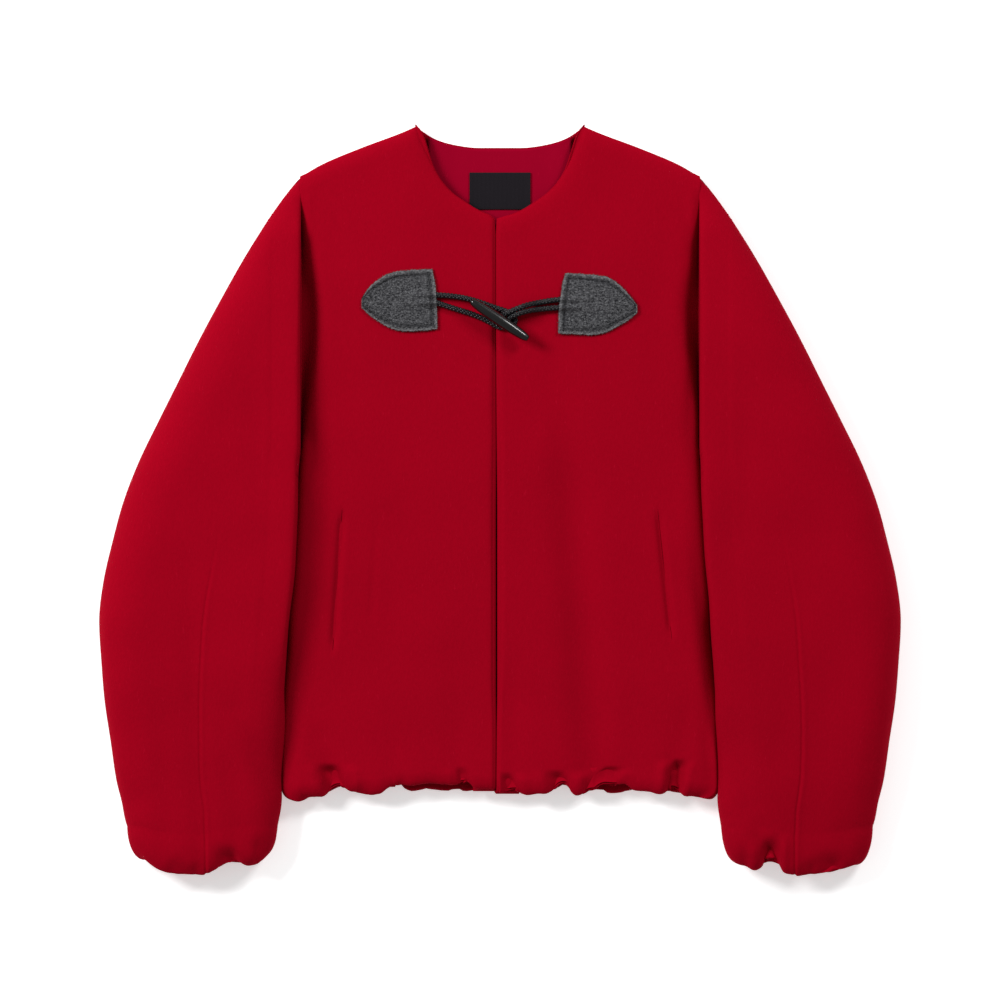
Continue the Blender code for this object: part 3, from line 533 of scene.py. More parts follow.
# Braided loops and the toggle. A route's rows are (x, y, height of its middle over the cloth)
CORD = 0.0045
ON_CLOTH = CORD / 2 + LAY_GAP
CROSSING = ON_CLOTH + CORD + 0.0010
OPENING_EDGE = 0.008  # cords and toggle cross the opening at the height of the cloth here
LEFT_LOOP = (
    (-0.0582, 0.1884, ON_CLOTH),
    (-0.0460, 0.1876, ON_CLOTH),
    (-0.0350, 0.1861, ON_CLOTH),
    (-0.0245, 0.1836, ON_CLOTH),
    (-0.0133, 0.1800, ON_CLOTH),
    (-0.0045, 0.1768, ON_CLOTH),
    (0.0035, 0.1742, ON_CLOTH),
    (0.0100, 0.1712, ON_CLOTH),
    (0.0136, 0.1675, ON_CLOTH),
    (0.0138, 0.1636, ON_CLOTH),
    (0.0107, 0.1601, ON_CLOTH),
    (0.0050, 0.1584, ON_CLOTH),
    (-0.0015, 0.1592, ON_CLOTH),
    (-0.0090, 0.1633, ON_CLOTH),
    (-0.0175, 0.1676, ON_CLOTH),
    (-0.0271, 0.1714, ON_CLOTH),
    (-0.0410, 0.1757, ON_CLOTH),
    (-0.0571, 0.1810, ON_CLOTH),
)
RIGHT_LOOP = (
    (0.0547, 0.1842, ON_CLOTH),
    (0.0470, 0.1834, ON_CLOTH),
    (0.0394, 0.1821, ON_CLOTH),
    (0.0330, 0.1809, ON_CLOTH + 0.0010),
    (0.0262, 0.1794, ON_CLOTH + 0.0034),
    (0.0190, 0.1770, CROSSING),
    (0.0125, 0.1744, CROSSING),
    (0.0068, 0.1718, CROSSING),
    (0.0030, 0.1700, ON_CLOTH + 0.0036),
    (-0.0006, 0.1687, ON_CLOTH + 0.0012),
    (-0.0024, 0.1676, ON_CLOTH + 0.0002),
    (-0.0031, 0.1659, ON_CLOTH),
    (-0.0012, 0.1640, ON_CLOTH),
    (0.0032, 0.1645, ON_CLOTH + 0.0006),
    (0.0088, 0.1672, CROSSING - 0.0016),
    (0.0150, 0.1702, CROSSING),
    (0.0220, 0.1727, CROSSING - 0.0006),
    (0.0290, 0.1743, ON_CLOTH + 0.0030),
    (0.0370, 0.1753, ON_CLOTH + 0.0006),
    (0.0450, 0.1761, ON_CLOTH),
    (0.0540, 0.1769, ON_CLOTH),
)
TOGGLE_LONG = 0.063
TOGGLE_MIDDLE = (-0.0002, 0.1652)
TOGGLE_TURN = math.radians(-33.7)
TOGGLE_OVER_LOOPS = 0.0020
TOGGLE_PROFILE = (  # (share of the length, radius)
    (0.5, 0.0),
    (0.497, 0.0017),
    (0.485, 0.0027),
    (0.45, 0.0035),
    (0.33, 0.0045),
    (0.15, 0.0052),
    (0.0, 0.0054),
    (-0.15, 0.0052),
    (-0.33, 0.0045),
    (-0.45, 0.0035),
    (-0.485, 0.0027),
    (-0.497, 0.0017),
    (-0.5, 0.0),
)
TOGGLE_SIDES = 14

# Bulge of the sleeve over its own inner seam, as a share of the way across
BULGE_TO = 0.1

# Sharp tucks at the gathered hem and cuffs. Each runs from its top to its foot and on round the
# roll: (q, y of the top, q, y of the foot, half width, depth, wider side: 1 outwards, -1 inwards)
HEM_TUCKS = {
    -1: (
        (0.1560, -0.2400, 0.1482, -0.2620, 0.0056, 0.0062, 1),
        (0.0375, -0.2460, 0.0350, -0.2600, 0.0034, 0.0028, -1),
        (0.0930, -0.2560, 0.0960, -0.2640, 0.0034, 0.0030, 1),
        (0.1290, -0.2560, 0.1310, -0.2670, 0.0044, 0.0020, -1),
    ),
    1: (
        (0.0060, -0.2480, 0.0118, -0.2650, 0.0038, 0.0050, -1),
        (0.0520, -0.2460, 0.0580, -0.2640, 0.0052, 0.0056, -1),
        (0.1030, -0.2450, 0.0868, -0.2620, 0.0060, 0.0036, 1),
        (0.1632, -0.2360, 0.1585, -0.2620, 0.0038, 0.0068, 1),
    ),
}
CUFF_TUCKS = {
    -1: (
        (0.2480, -0.3060, 0.2380, -0.3330, 0.0060, 0.0060, 1),
        (0.2790, -0.3180, 0.2800, -0.3420, 0.0050, 0.0022, 1),
        (0.3010, -0.3150, 0.2970, -0.3400, 0.0050, 0.0026, -1),
        (0.2190, -0.3000, 0.2240, -0.3250, 0.0050, 0.0020, -1),
    ),
    1: (
        (0.2450, -0.3030, 0.2468, -0.3330, 0.0042, 0.0090, 1),
        (0.2860, -0.3160, 0.2820, -0.3420, 0.0050, 0.0024, -1),
        (0.3080, -0.3120, 0.3030, -0.3400, 0.0070, 0.0048, -1),
        (0.2240, -0.3060, 0.2260, -0.3280, 0.0050, 0.0018, 1),
    ),
}
BACK_TUCKS = (
    (0.0420, -0.2500, 0.0400, -0.2650, 0.0036, 0.0020, 1),
    (0.0900, -0.2500, 0.0930, -0.2650, 0.0040, 0.0022, -1),
    (0.1460, -0.2500, 0.1440, -0.2650, 0.0036, 0.0020, 1),
)
TUCK_WIDER = 2.4
TUCK_STARTS_OVER = 0.010

# Where the front hem lies a little higher, so that the back's shaded hem shows below it: (q from,
# q to, how much higher)
HEM_LIFTS = {
    -1: ((0.022, 0.097, 0.0062), (-0.020, 0.036, 0.0024)),
    1: ((0.086, 0.124, 0.0066),),
}
HEM_LIFT_ENDS = 0.011

# Fine gathers round the hem and cuffs: (wavelength, phase), their depth and how far up they run
GATHERS = ((0.0073, 0.3), (0.0119, 2.1), (0.0177, 4.4), (0.0291, 1.2))
GATHER_DEPTH = 0.00020
GATHER_REACH = 0.026
# How strong the gathers are on each panel, and how far they are shifted from side to side
FRONT_GATHERS, BACK_GATHERS, CUFF_GATHERS = 0.45, 1.2, 1.3
FRONT_GATHER_SHIFT, CUFF_GATHER_SHIFT, CUFF_GATHERS_BELOW = 0.011, 0.017, 0.012
# Length of cloth round each roll, and the share of a front's hem lift that the back takes
FRONT_ROLL_ARC, BACK_ROLL_ARC, CUFF_ROLL_ARC = math.pi * 0.009, math.pi * 0.004, 0.055
BACK_LIFT_SHARE = 0.25
SLEEVE_LOOSENESS = 1.6

# Slow unevenness of cloth that lies loose: (waves across and along per metre, phase, height)
LOOSE = (
    (7.0, 2.1, 0.4, 0.00030),
    (-4.0, 6.5, 2.2, 0.00026),
    (13.0, -5.0, 4.0, 0.00014),
    (3.0, 15.0, 5.1, 0.00012),
)

# Long soft creases besides the largest folds: (q, y, q, y, half width, depth)
FRONT_CREASES = {
    -1: (
        (0.1122, -0.0124, 0.1178, -0.1035, 0.0035, 0.0005),
        (0.1690, -0.2000, 0.1560, -0.2420, 0.0140, 0.0012),
        (0.0420, -0.1500, 0.0370, -0.2500, 0.0130, 0.0008),
        (0.1000, -0.2000, 0.0950, -0.2560, 0.0120, 0.0010),
        (0.0700, 0.1450, 0.0300, 0.1250, 0.0120, 0.0004),
        (0.1500, 0.2500, 0.1380, 0.0900, 0.0140, 0.0006),
    ),
    1: (
        (0.0140, -0.1400, 0.0120, -0.2500, 0.0100, 0.0007),
        (0.1760, -0.1700, 0.1650, -0.2360, 0.0120, 0.0012),
        (0.1180, -0.1500, 0.1200, -0.2500, 0.0150, 0.0009),
        (0.1480, 0.2500, 0.1400, 0.0900, 0.0140, 0.0006),
        (0.0640, 0.0900, 0.0950, -0.2620, 0.0150, 0.0042),
        (0.0500, 0.1320, 0.0300, 0.0600, 0.0130, 0.0005),
    ),
}
SLEEVE_CREASES = {
    -1: (
        (0.2250, 0.1400, 0.2150, -0.0300, 0.0140, 0.0010),
        (0.3150, -0.2100, 0.3060, -0.3000, 0.0130, 0.0012),
        (0.2550, -0.2200, 0.2360, -0.2950, 0.0120, 0.0014),
        (0.3380, -0.1700, 0.3300, -0.2700, 0.0110, 0.0008),
    ),
    1: (
        (0.2300, 0.1500, 0.2180, -0.0300, 0.0150, 0.0010),
        (0.3260, -0.1500, 0.3160, -0.3000, 0.0140, 0.0016),
        (0.2740, -0.0900, 0.2580, -0.2300, 0.0150, 0.0010),
        (0.3430, -0.2000, 0.3330, -0.2900, 0.0100, 0.0010),
    ),
}

# The seam down each top sleeve: (y, share of the way across)
SLEEVE_SEAM = {
    -1: ((-0.2989, 0.475), (-0.2400, 0.470), (-0.1300, 0.450), (-0.0460, 0.427), (0.0600, 0.380)),
    1: ((-0.2989, 0.480), (-0.2400, 0.480), (-0.1300, 0.450), (-0.0460, 0.430), (0.0600, 0.390)),
}
SLEEVE_SEAM_TOP = -0.010
SLEEVE_SEAM_WIDE = 0.0011
SLEEVE_SEAM_DEEP = 0.00085

# The fronts' middle edges, turned in: radius of the fold and half the gap left between them, both
# by y, the turned-in ply, and how far in from the edge the cloth gives way
EDGE_RADIUS = (
    (-0.2700, 0.0022), (-0.2200, 0.0024), (-0.1500, 0.0034), (0.0000, 0.0034), (0.1000, 0.0026),
    (0.1600, 0.0020), (0.2700, 0.0020),
)
EDGE_OPEN = (
    (-0.2700, 0.00015), (-0.2200, 0.00015), (-0.1700, 0.0006), (-0.0200, 0.0006), (0.0600, 0.0001),
    (0.2700, 0.00003),
)
EDGE_PLY, EDGE_NEAR, EDGE_TOP = 0.018, 0.012, 0.262

# How much the fronts' sides fill out towards the sleeves, and the soft hollows beside the sleeves
# where they stand over the body: (y, height, its place in from the edge, its reach)
ARMHOLE_RISE = {
    -1: (
        (-0.2620, 0.0040, 0.0075, 0.0060), (-0.2490, 0.0040, 0.0075, 0.0060),
        (-0.2210, 0.0040, 0.0075, 0.0070), (-0.1935, 0.0036, 0.0080, 0.0085),
        (-0.1750, 0.0030, 0.0090, 0.0090), (-0.1570, 0.0030, 0.0100, 0.0090),
        (-0.1385, 0.0034, 0.0100, 0.0090), (-0.1015, 0.0060, 0.0085, 0.0110),
        (-0.0650, 0.0075, 0.0080, 0.0130), (0.0090, 0.0070, 0.0080, 0.0130),
        (0.0455, 0.0034, 0.0080, 0.0090), (0.0640, 0.0000, 0.0075, 0.0060),
        (0.2295, 0.0000, 0.0075, 0.0060), (0.2480, 0.0020, 0.0075, 0.0060),
        (0.2750, 0.0010, 0.0075, 0.0060), (0.2900, 0.0000, 0.0075, 0.0060),
    ),
    1: (
        (-0.2620, 0.0050, 0.0075, 0.0060), (-0.2490, 0.0050, 0.0075, 0.0060),
        (-0.1935, 0.0035, 0.0075, 0.0060), (-0.1570, 0.0010, 0.0075, 0.0060),
        (-0.1200, 0.0005, 0.0075, 0.0070), (-0.0650, 0.0050, 0.0075, 0.0090),
        (-0.0100, 0.0062, 0.0075, 0.0100), (0.0455, 0.0046, 0.0075, 0.0080),
        (0.0820, 0.0030, 0.0075, 0.0060), (0.1190, 0.0000, 0.0075, 0.0060),
        (0.2300, 0.0000, 0.0075, 0.0060), (0.2600, 0.0020, 0.0075, 0.0060),
        (0.2750, 0.0010, 0.0075, 0.0060), (0.2900, 0.0000, 0.0075, 0.0060),
    ),
}
ARMHOLE_HOLLOW = {
    -1: (
        (-0.2000, 0.0000, 0.0040, 0.0050), (-0.1750, -0.0020, 0.0040, 0.0050),
        (-0.1570, -0.0038, 0.0035, 0.0060), (-0.1385, -0.0038, 0.0035, 0.0060),
        (-0.1150, -0.0015, 0.0040, 0.0050), (-0.1000, 0.0000, 0.0040, 0.0050),
        (0.0350, 0.0000, 0.0040, 0.0050), (0.0640, -0.0025, 0.0030, 0.0055),
        (0.0825, -0.0050, 0.0040, 0.0065), (0.1010, -0.0070, 0.0050, 0.0075),
        (0.1375, -0.0083, 0.0080, 0.0092), (0.1740, -0.0080, 0.0085, 0.0105),
        (0.1930, -0.0072, 0.0075, 0.0100), (0.2110, -0.0054, 0.0050, 0.0095),
        (0.2295, -0.0040, 0.0035, 0.0070), (0.2480, -0.0030, 0.0030, 0.0070),
        (0.2750, 0.0000, 0.0030, 0.0060),
    ),
    1: (
        (-0.2200, 0.0000, 0.0040, 0.0090), (-0.1750, -0.0038, 0.0040, 0.0090),
        (-0.1500, -0.0050, 0.0040, 0.0070), (-0.1200, -0.0052, 0.0040, 0.0070),
        (-0.0950, -0.0020, 0.0040, 0.0050), (-0.0750, 0.0000, 0.0040, 0.0050),
        (0.0700, 0.0000, 0.0040, 0.0050), (0.1000, -0.0040, 0.0035, 0.0050),
        (0.1190, -0.0050, 0.0035, 0.0055), (0.1450, -0.0068, 0.0055, 0.0090),
        (0.1740, -0.0072, 0.0065, 0.0110), (0.1930, -0.0060, 0.0055, 0.0100),
        (0.2150, -0.0045, 0.0035, 0.0075), (0.2350, -0.0030, 0.0030, 0.0070),
        (0.2600, 0.0000, 0.0030, 0.0060),
    ),
}
SIDE_CLOSING = 0.0011  # how far a front's side reaches over the seam to the sleeve

# How far body and sleeves lean together below the armholes, by y
SIDE_LEAN = ((-0.285, 0.0), (-0.262, 0.0012), (-0.170, 0.0012), (-0.130, 0.0),
             (0.270, 0.0), (0.290, 0.0004), (0.300, 0.0004))
SLEEVE_LEAN = ((-0.305, 0.0), (-0.268, 0.0022), (-0.235, 0.0034), (-0.205, 0.0026), (-0.170, 0.0),
               (0.270, 0.0), (0.290, 0.0012), (0.300, 0.0012))

# How far the under sleeve is raised along its outer seam, to meet the top sleeve, by y
HEAD_CLOSING = ((0.130, 0.0), (0.175, 0.0016), (0.205, 0.0036), (0.235, 0.0043), (0.300, 0.0043))

# How squarely the sleeves stand along their inner edges, by y
SQUARE_BY_Y = ((-0.235, 0.0), (-0.170, 0.5), (-0.10, 1.0), (0.24, 1.0), (0.285, 0.0))
SQUARE_REACH, SQUARE_POWER = 0.026, 10.0

# Pocket lips, which turn in along the slit
POCKET_LIP_DEEP = 0.0027
POCKET_LIP_WIDE = 0.0033
POCKET_PARTED = 0.0003
SLIT_U = {-1: 0.795, 1: 0.800}  # the column of a front's grid that is drawn onto its slit
SLIT_PULL_WIDE, SLIT_LEVEL_U = 0.09, 0.78

# Braided cord: strands that wind each way, their size and how far along one turn takes
BRAID_STRANDS = 4
BRAID_STRAND = 0.00100
BRAID_PITCH = 0.0135
BRAID_WEAVE = 0.00050
CORD_HIDDEN = 0.006
CORD_SUNK = 0.0012

# Tweed patches: ridges where the cord ends lie beneath, a running stitch and a fuzzy rim
RIDGE_HIGH = 0.0036
RIDGE_WIDE = 0.0030
RIDGE_REACH = 0.038
STITCH_INSET = 0.0038
STITCH_LONG = 0.0034
STITCH_EVERY = 0.0050
STITCH_THICK = 0.00075
FUZZ_HAIRS = 900
FUZZ_LONG = (0.0006, 0.0021)
FIBRE = 0.00007
PATCH_ROUND = 0.22
PATCH_ROUGH = 0.00022
PATCH_LUMPS = 0.00024
STITCH_PULL, STITCH_PULL_WIDE, RIM_WIDE = 0.0007, 0.0011, 0.0026
BRAID_STEP = 0.0008
CORE_SHARE = 1.25
TOGGLE_RINGS = 60
TOGGLE_BOW = 0.0007
LABEL_FOLD, LABEL_FOLD_HIGH = 0.0035, 0.0003

# Colours, linear
RED_WOOL = (0.263, 0.0001, 0.0080)
CRIMSON = (0.245, 0.0002, 0.0135)
TWEED_DARK, TWEED_MIDDLE = (0.012, 0.012, 0.014), (0.072, 0.072, 0.077)
TWEED_PALE, TWEED_RIM = (0.25, 0.25, 0.26), (0.17, 0.17, 0.175)
LABEL_DARK, LABEL_PALE = (0.006, 0.0045, 0.0065), (0.015, 0.012, 0.016)
CORD_DARK, CORD_PALE = (0.0005, 0.0005, 0.0007), (0.010, 0.010, 0.013)
HORN_DARK, HORN_PALE = (0.001, 0.001, 0.0012), (0.007, 0.0075, 0.007)
FLOOR_COLOUR = (0.94, 0.94, 0.94)
FLOOR_GLOW = 0.42  # a weak glow of the floor's own, which keeps the shadows on it faint

# What each piece was cut to: (width, length, area, how it is held, what it rests on)
CUTS = {
    "back_cloth": (0.405, 0.625, 0.232, "laid", []),
    "front_left_cloth": (0.222, 0.637, 0.130, "laid", ["back_cloth"]),
    "front_right_cloth": (0.228, 0.638, 0.135, "laid", ["back_cloth"]),
    "sleeve_left_top_cloth": (0.205, 0.705, 0.105, "laid", ["sleeve_left_under_cloth"]),
    "sleeve_right_top_cloth": (0.205, 0.703, 0.105, "laid", ["sleeve_right_under_cloth"]),
    "sleeve_left_under_cloth": (0.180, 0.661, 0.088, "laid", []),
    "sleeve_right_under_cloth": (0.180, 0.662, 0.088, "laid", []),
    "pocket_facing_left_cloth": (0.033, 0.152, 0.0050, "laid", ["front_left_cloth"]),
    "pocket_facing_right_cloth": (0.033, 0.140, 0.0046, "laid", ["front_right_cloth"]),
    "back_neck_facing_cloth": (0.135, 0.085, 0.0090, "laid", ["back_cloth"]),
    "label_cloth": (0.056, 0.034, None, "laid", ["back_neck_facing_cloth"]),
    "patch_left_tweed": (0.070, 0.056, 0.0033, "laid", ["front_left_cloth"]),
    "patch_right_tweed": (0.072, 0.056, 0.0033, "laid", ["front_right_cloth"]),
}

# Camera, floor and lamps: (name, place, size, power)
PIXEL = 0.00092
PHOTO_WIDE = 1000 * PIXEL
PHOTO_MIDDLE_ROW = 499.5
SENSOR = 36.0
CAMERA_HEIGHT = 6.0
FLOOR_HALF, FLOOR_BELOW = 12.0, 0.0003
AMBIENT = 0.35
LAMPS = (
    ("key lamp", (-2.6, 1.5, 2.1), 1.2, 136.0),
    ("fill lamp", (1.9, 2.1, 2.2), 0.9, 61.0),
)


def along(table, at, column=1):
    """A smooth line through the table's rows, which overshoots none of them, at these places."""
    rows = np.array(table, float)
    x, y = rows[:, 0], rows[:, column]
    step = np.diff(x)
    slope = np.diff(y) / step
    tangent = np.concatenate([slope[:1], (slope[:-1] + slope[1:]) / 2, slope[-1:]])
    least = np.minimum(np.abs(slope[:-1]), np.abs(slope[1:])) * 3
    turning = slope[:-1] * slope[1:] <= 0
    tangent[1:-1] = np.where(turning, 0, np.clip(tangent[1:-1], -least, least))
    at = np.clip(at, x[0], x[-1])
    i = np.clip(np.searchsorted(x, at, side="right") - 1, 0, len(x) - 2)
    t = (at - x[i]) / step[i]
    rise = t * t * (3 - 2 * t)
    start_bend = t * (1 - t) ** 2 * step[i] * tangent[i]
    end_bend = t * t * (t - 1) * step[i] * tangent[i + 1]
    return y[i] + rise * (y[i + 1] - y[i]) + start_bend + end_bend


def fall(share):
    """From 0 at an edge to 1 at the end of its rounding, upright at the edge."""
    return (1 - (1 - np.clip(share, 0, 1)) ** FALL_POWER) ** (1 / FALL_POWER)


def ease(share):
    share = np.clip(share, 0, 1)
    return share * share * (3 - 2 * share)


def troughs(folds, q, y):
    """How far these folds lower the cloth."""
    depth = np.zeros_like(q)
    for q1, y1, q2, y2, half_width, deep in folds:
        length = math.hypot(q2 - q1, y2 - y1)
        way = ((q - q1) * (q2 - q1) + (y - y1) * (y2 - y1)) / length
        aside = ((q - q1) * (y2 - y1) - (y - y1) * (q2 - q1)) / length
        share = np.clip(way / length, 0, 1)
        past = way - share * length
        across = np.exp(-((aside / half_width) ** 2))
        ends = np.exp(-((past / (1.5 * half_width)) ** 2))
        depth += deep * across * ends * (0.35 + 0.65 * ease(share * 2))
    return depth


def edge_distance(table, q, y):
    """Distance to an outline given as (y, q), measured square to it."""
    slope = (along(table, y + 0.002) - along(table, y - 0.002)) / 0.004
    return (along(table, y) - q) / np.sqrt(1 + slope**2)


def shoulder_distance(q, y):
    return (along(SHOULDER_LINE, q) - y) * math.cos(SHOULDER_SLOPE)


def neck_distance(q, y):
    """Distance to the front neckline: the height of the triangle cut off by it."""
    rows = [(row[1], row[0]) for row in FRONT_NECKLINE]
    down = np.where(q < FRONT_NECKLINE[-1][0], along(FRONT_NECKLINE, q) - y, 1.0)
    out = np.where(y > FRONT_NECKLINE[0][1], q - along(rows, y), 1.0)
    down, out = np.maximum(down, 1e-6), np.maximum(out, 1e-6)
    return down * out / np.hypot(down, out)


def seam_height(y):
    """Height of the seam on the front's far side: the armhole's, then the side seam's."""
    raised = ease((y - SIDE_SEAM_TOP) / SIDE_SEAM_EASE)
    return SIDE_SEAM_Z + (SHOULDER_SEAM_Z - SIDE_SEAM_Z) * raised


def front_height(q, y, side):
    """Height of the outer side of a front."""
    low = seam_height(y)
    rounding = fall((along(BODY_SIDE, y) - q) / SIDE_ROUNDING)
    dip = along(ARMHOLE_DIP, y)
    z = low + (along(FRONT_CROWN, y) - low) * (1 - dip * (1 - rounding))
    shoulder = fall(shoulder_distance(q, y) / SHOULDER_ROUNDING)
    z = SHOULDER_SEAM_Z + (z - SHOULDER_SEAM_Z) * shoulder
    neck = fall(neck_distance(q, y) / NECK_ROUNDING)
    z = z - NECK_DROP * (1 - neck) * shoulder
    edge = LEFT_CENTRE_EDGE if side < 0 else RIGHT_CENTRE_EDGE
    centre = fall((q - along(edge, y)) / CENTRE_ROUNDING)
    z = z - CENTRE_DROP * (1 - centre)
    return z - troughs(FRONT_FOLDS[side], q, y) * rounding


def back_height(q, y):
    """Height of the underside of the back: on the ground, raised at its sides and shoulders."""
    q = np.abs(q)
    side = fall((along(BODY_SIDE, y) - q) / SIDE_ROUNDING)
    shoulder = fall(shoulder_distance(q, y) / SHOULDER_ROUNDING)
    lowered = NECK_POINT_LOWER * ease(1 - (q - SHOULDER_LINE[0][0]) / SHOULDER_ROUNDING)
    at_shoulder = (SHOULDER_SEAM_Z - SEAM_GAP - lowered) * (1 - shoulder)
    return np.maximum(along(BACK_SIDE_Z, y) * (1 - side), at_shoulder)


def sleeve_height(q, y, side):
    """Height of the outer side of a top sleeve, from its widest line inside to its outer seam."""
    inner = along(INNER_WIDEST_Z, y)
    rise = fall((q - along(SLEEVE_INNER, y)) / SLEEVE_RISE)
    z = inner + (along(SLEEVE_CROWN, y) - inner) * rise
    outer = along(OUTER_SEAM_Z, y)
    rounding = fall(edge_distance(SLEEVE_OUTLINE, q, y) / along(OUTER_ROUNDING, y))
    z = outer + (z - outer) * rounding
    return z - troughs(SLEEVE_FOLDS[side], q, y) * rounding * rise


def under_sleeve_height(q, y):
    """Height of the underside of an under sleeve: on the ground, raised to its two seams."""
    inner_edge = along(SLEEVE_INNER, y) + overhang(y)
    inner = 1 - fall((q - inner_edge) / UNDER_ROUNDING)
    outer = 1 - fall(edge_distance(SLEEVE_OUTLINE, q, y) / SHOULDER_ROUNDING)
    inner_z = inner_seam_height(y) - SEAM_GAP
    raised = inner * inner_z * ease((UNDER_RAISED_TO - y) / UNDER_RAISED_EASE)
    head = ease((y - HEAD_FROM) / HEAD_EASE)
    outer_z = along(OUTER_SEAM_Z, y) - SEAM_GAP - HEAD_LOWER * head
    return np.maximum(raised, outer * outer_z)


def overhang_angle(y):
    return along(OVERHANG_SHARE, y) * OVERHANG_ANGLE


def overhang(y):
    """How far the inner seam of the sleeve lies behind the sleeve's inner edge."""
    return OVERHANG_RADIUS * (1 - np.cos(overhang_angle(y)))


def inner_seam_height(y):
    return along(INNER_WIDEST_Z, y) * (1 - np.sin(overhang_angle(y)))


def roll_under(outer, mouth, low_y, reach, station):
    """The cloth's turn from its outer side to the mouth, and the ply turned in behind it.

    outer and mouth are (q, z) where the turn starts and ends. station is 0 at the start, -1 at
    the mouth and -2 at the end of the turned-in ply.
    """
    angle = math.pi * np.clip(-station, 0, 1)
    share = (1 - np.cos(angle)) / 2
    q = outer[0] + (mouth[0] - outer[0]) * share
    z = outer[1] + (mouth[1] - outer[1]) * share
    y = low_y + reach * (1 - np.sin(angle))
    return q, y + TURNED_IN * np.clip(-station - 1, 0, 1), z


def front_plan(u, station, side):
    """Where a front's point lies seen from above: u runs from the middle edge to the side."""
    v = np.clip(station, 0, 1)
    centre_edge = LEFT_CENTRE_EDGE if side < 0 else RIGHT_CENTRE_EDGE
    inner_y = along(FRONT_ROWS, v)
    outer_y = along(FRONT_ROWS, v, 2)
    neckline = [(row[1], row[0]) for row in FRONT_NECKLINE]
    edge_q = along(centre_edge, inner_y)
    neck_share = (v - NECKLINE_FROM) / (1 - NECKLINE_FROM)
    start_y = along(FRONT_NECKLINE, along(centre_edge, FRONT_NECKLINE[1][1]))
    neck_y = start_y + (FRONT_NECKLINE[-1][1] - start_y) * np.clip(neck_share, 0, 1)
    on_neck = v > NECKLINE_FROM
    inner_q = np.where(on_neck, along(neckline, neck_y), edge_q)
    inner_y = np.where(on_neck, neck_y, inner_y)
    q = inner_q + (along(BODY_SIDE, outer_y) - inner_q) * u
    y = inner_y + (outer_y - inner_y) * u
    to_shoulder = ease((v - SHOULDER_ROWS_FROM) / (1 - SHOULDER_ROWS_FROM))
    return q, y + (along(SHOULDER_LINE, q) - y) * to_shoulder


def front_point(u, station, side):
    hem = LEFT_HEM if side < 0 else RIGHT_HEM
    q, y = front_plan(u, station, side)
    q0, y0 = front_plan(u, np.zeros_like(u), side)
    turn = HEM_CORNER_TURN * ease((u - HEM_CORNER_FROM) / (1 - HEM_CORNER_FROM))
    low_y = along(hem, q0 - turn / 2)
    start_y = low_y + HEM_ROLL
    y = y + (start_y - y0) * np.clip(1 - station / HEM_BLEND, 0, 1) ** 2
    z = front_height(q, y, side)
    z0 = front_height(q0, start_y, side)
    lip = HEM_LIP_Z + (SIDE_SEAM_Z - HEM_LIP_Z) * ease((u - 0.5) / 0.5)
    rolled = roll_under((q0, z0), (q0 - turn, lip), low_y, HEM_ROLL, station)
    return pick(station, (q, y, z), rolled)


def back_point(u, station, side):
    """u runs from one side seam to the other."""
    s = 2 * u - 1
    v = np.clip(station, 0, 1)
    tip_q, tip_y = SHOULDER_LINE[-1]
    tip_q = tip_q - SEAM_GAP / 2
    top_q = np.abs(s) * tip_q
    at_neck = top_q < BACK_NECKLINE[-1][0]
    top_y = np.where(at_neck, along(BACK_NECKLINE, top_q), along(SHOULDER_LINE, top_q))
    seam_low_y = along(LEFT_HEM, BODY_SIDE[1][1] - HEM_CORNER_TURN / 2)
    row_y = seam_low_y + HEM_ROLL + (tip_y - seam_low_y - HEM_ROLL) * v
    corner = ease((np.abs(s) - BACK_CORNER_FROM) / (1 - BACK_CORNER_FROM))
    turn = HEM_CORNER_TURN * corner
    reach = BACK_HEM_ROLL + (HEM_ROLL - BACK_HEM_ROLL) * corner
    q0 = np.abs(s) * along(BODY_SIDE, np.full_like(u, seam_low_y + HEM_ROLL))
    left_low, right_low = along(LEFT_HEM, q0 - turn / 2), along(RIGHT_HEM, q0 - turn / 2)
    low_y = np.where(s < 0, left_low, right_low) + BACK_HEM_SHORTER * (1 - corner)
    start_y = low_y + reach
    y = start_y + (top_y - start_y) * v
    q = np.abs(s) * along(BODY_SIDE, row_y)
    z = back_height(q, y)
    z0 = back_height(q0, start_y)
    lip = BACK_HEM_LIP_Z + (SIDE_SEAM_Z - SEAM_GAP - BACK_HEM_LIP_Z) * corner
    rolled = roll_under((q0, z0), (q0 - turn, lip), low_y, reach, station)
    q, y, z = pick(station, (q, y, z), rolled)
    return q * np.sign(s), y, z


def sleeve_plan(t, v):
    """Seen from above: t runs from the inner edge to the outer one, v from the cuff to the head."""
    w = 1 - v
    inner_y, outer_y = along(SLEEVE_ROWS, w), along(SLEEVE_ROWS, w, 2)
    q = along(SLEEVE_INNER, inner_y)
    q = q + (along(SLEEVE_OUTLINE, outer_y) - q) * t
    y = inner_y + (outer_y - inner_y) * t
    outline = [(row[1], row[0]) for row in reversed(SLEEVE_OUTLINE[7:])]
    to_outline = along(outline, q) - y
    return q, y + to_outline * ease(1 - w / HEAD_ROWS)


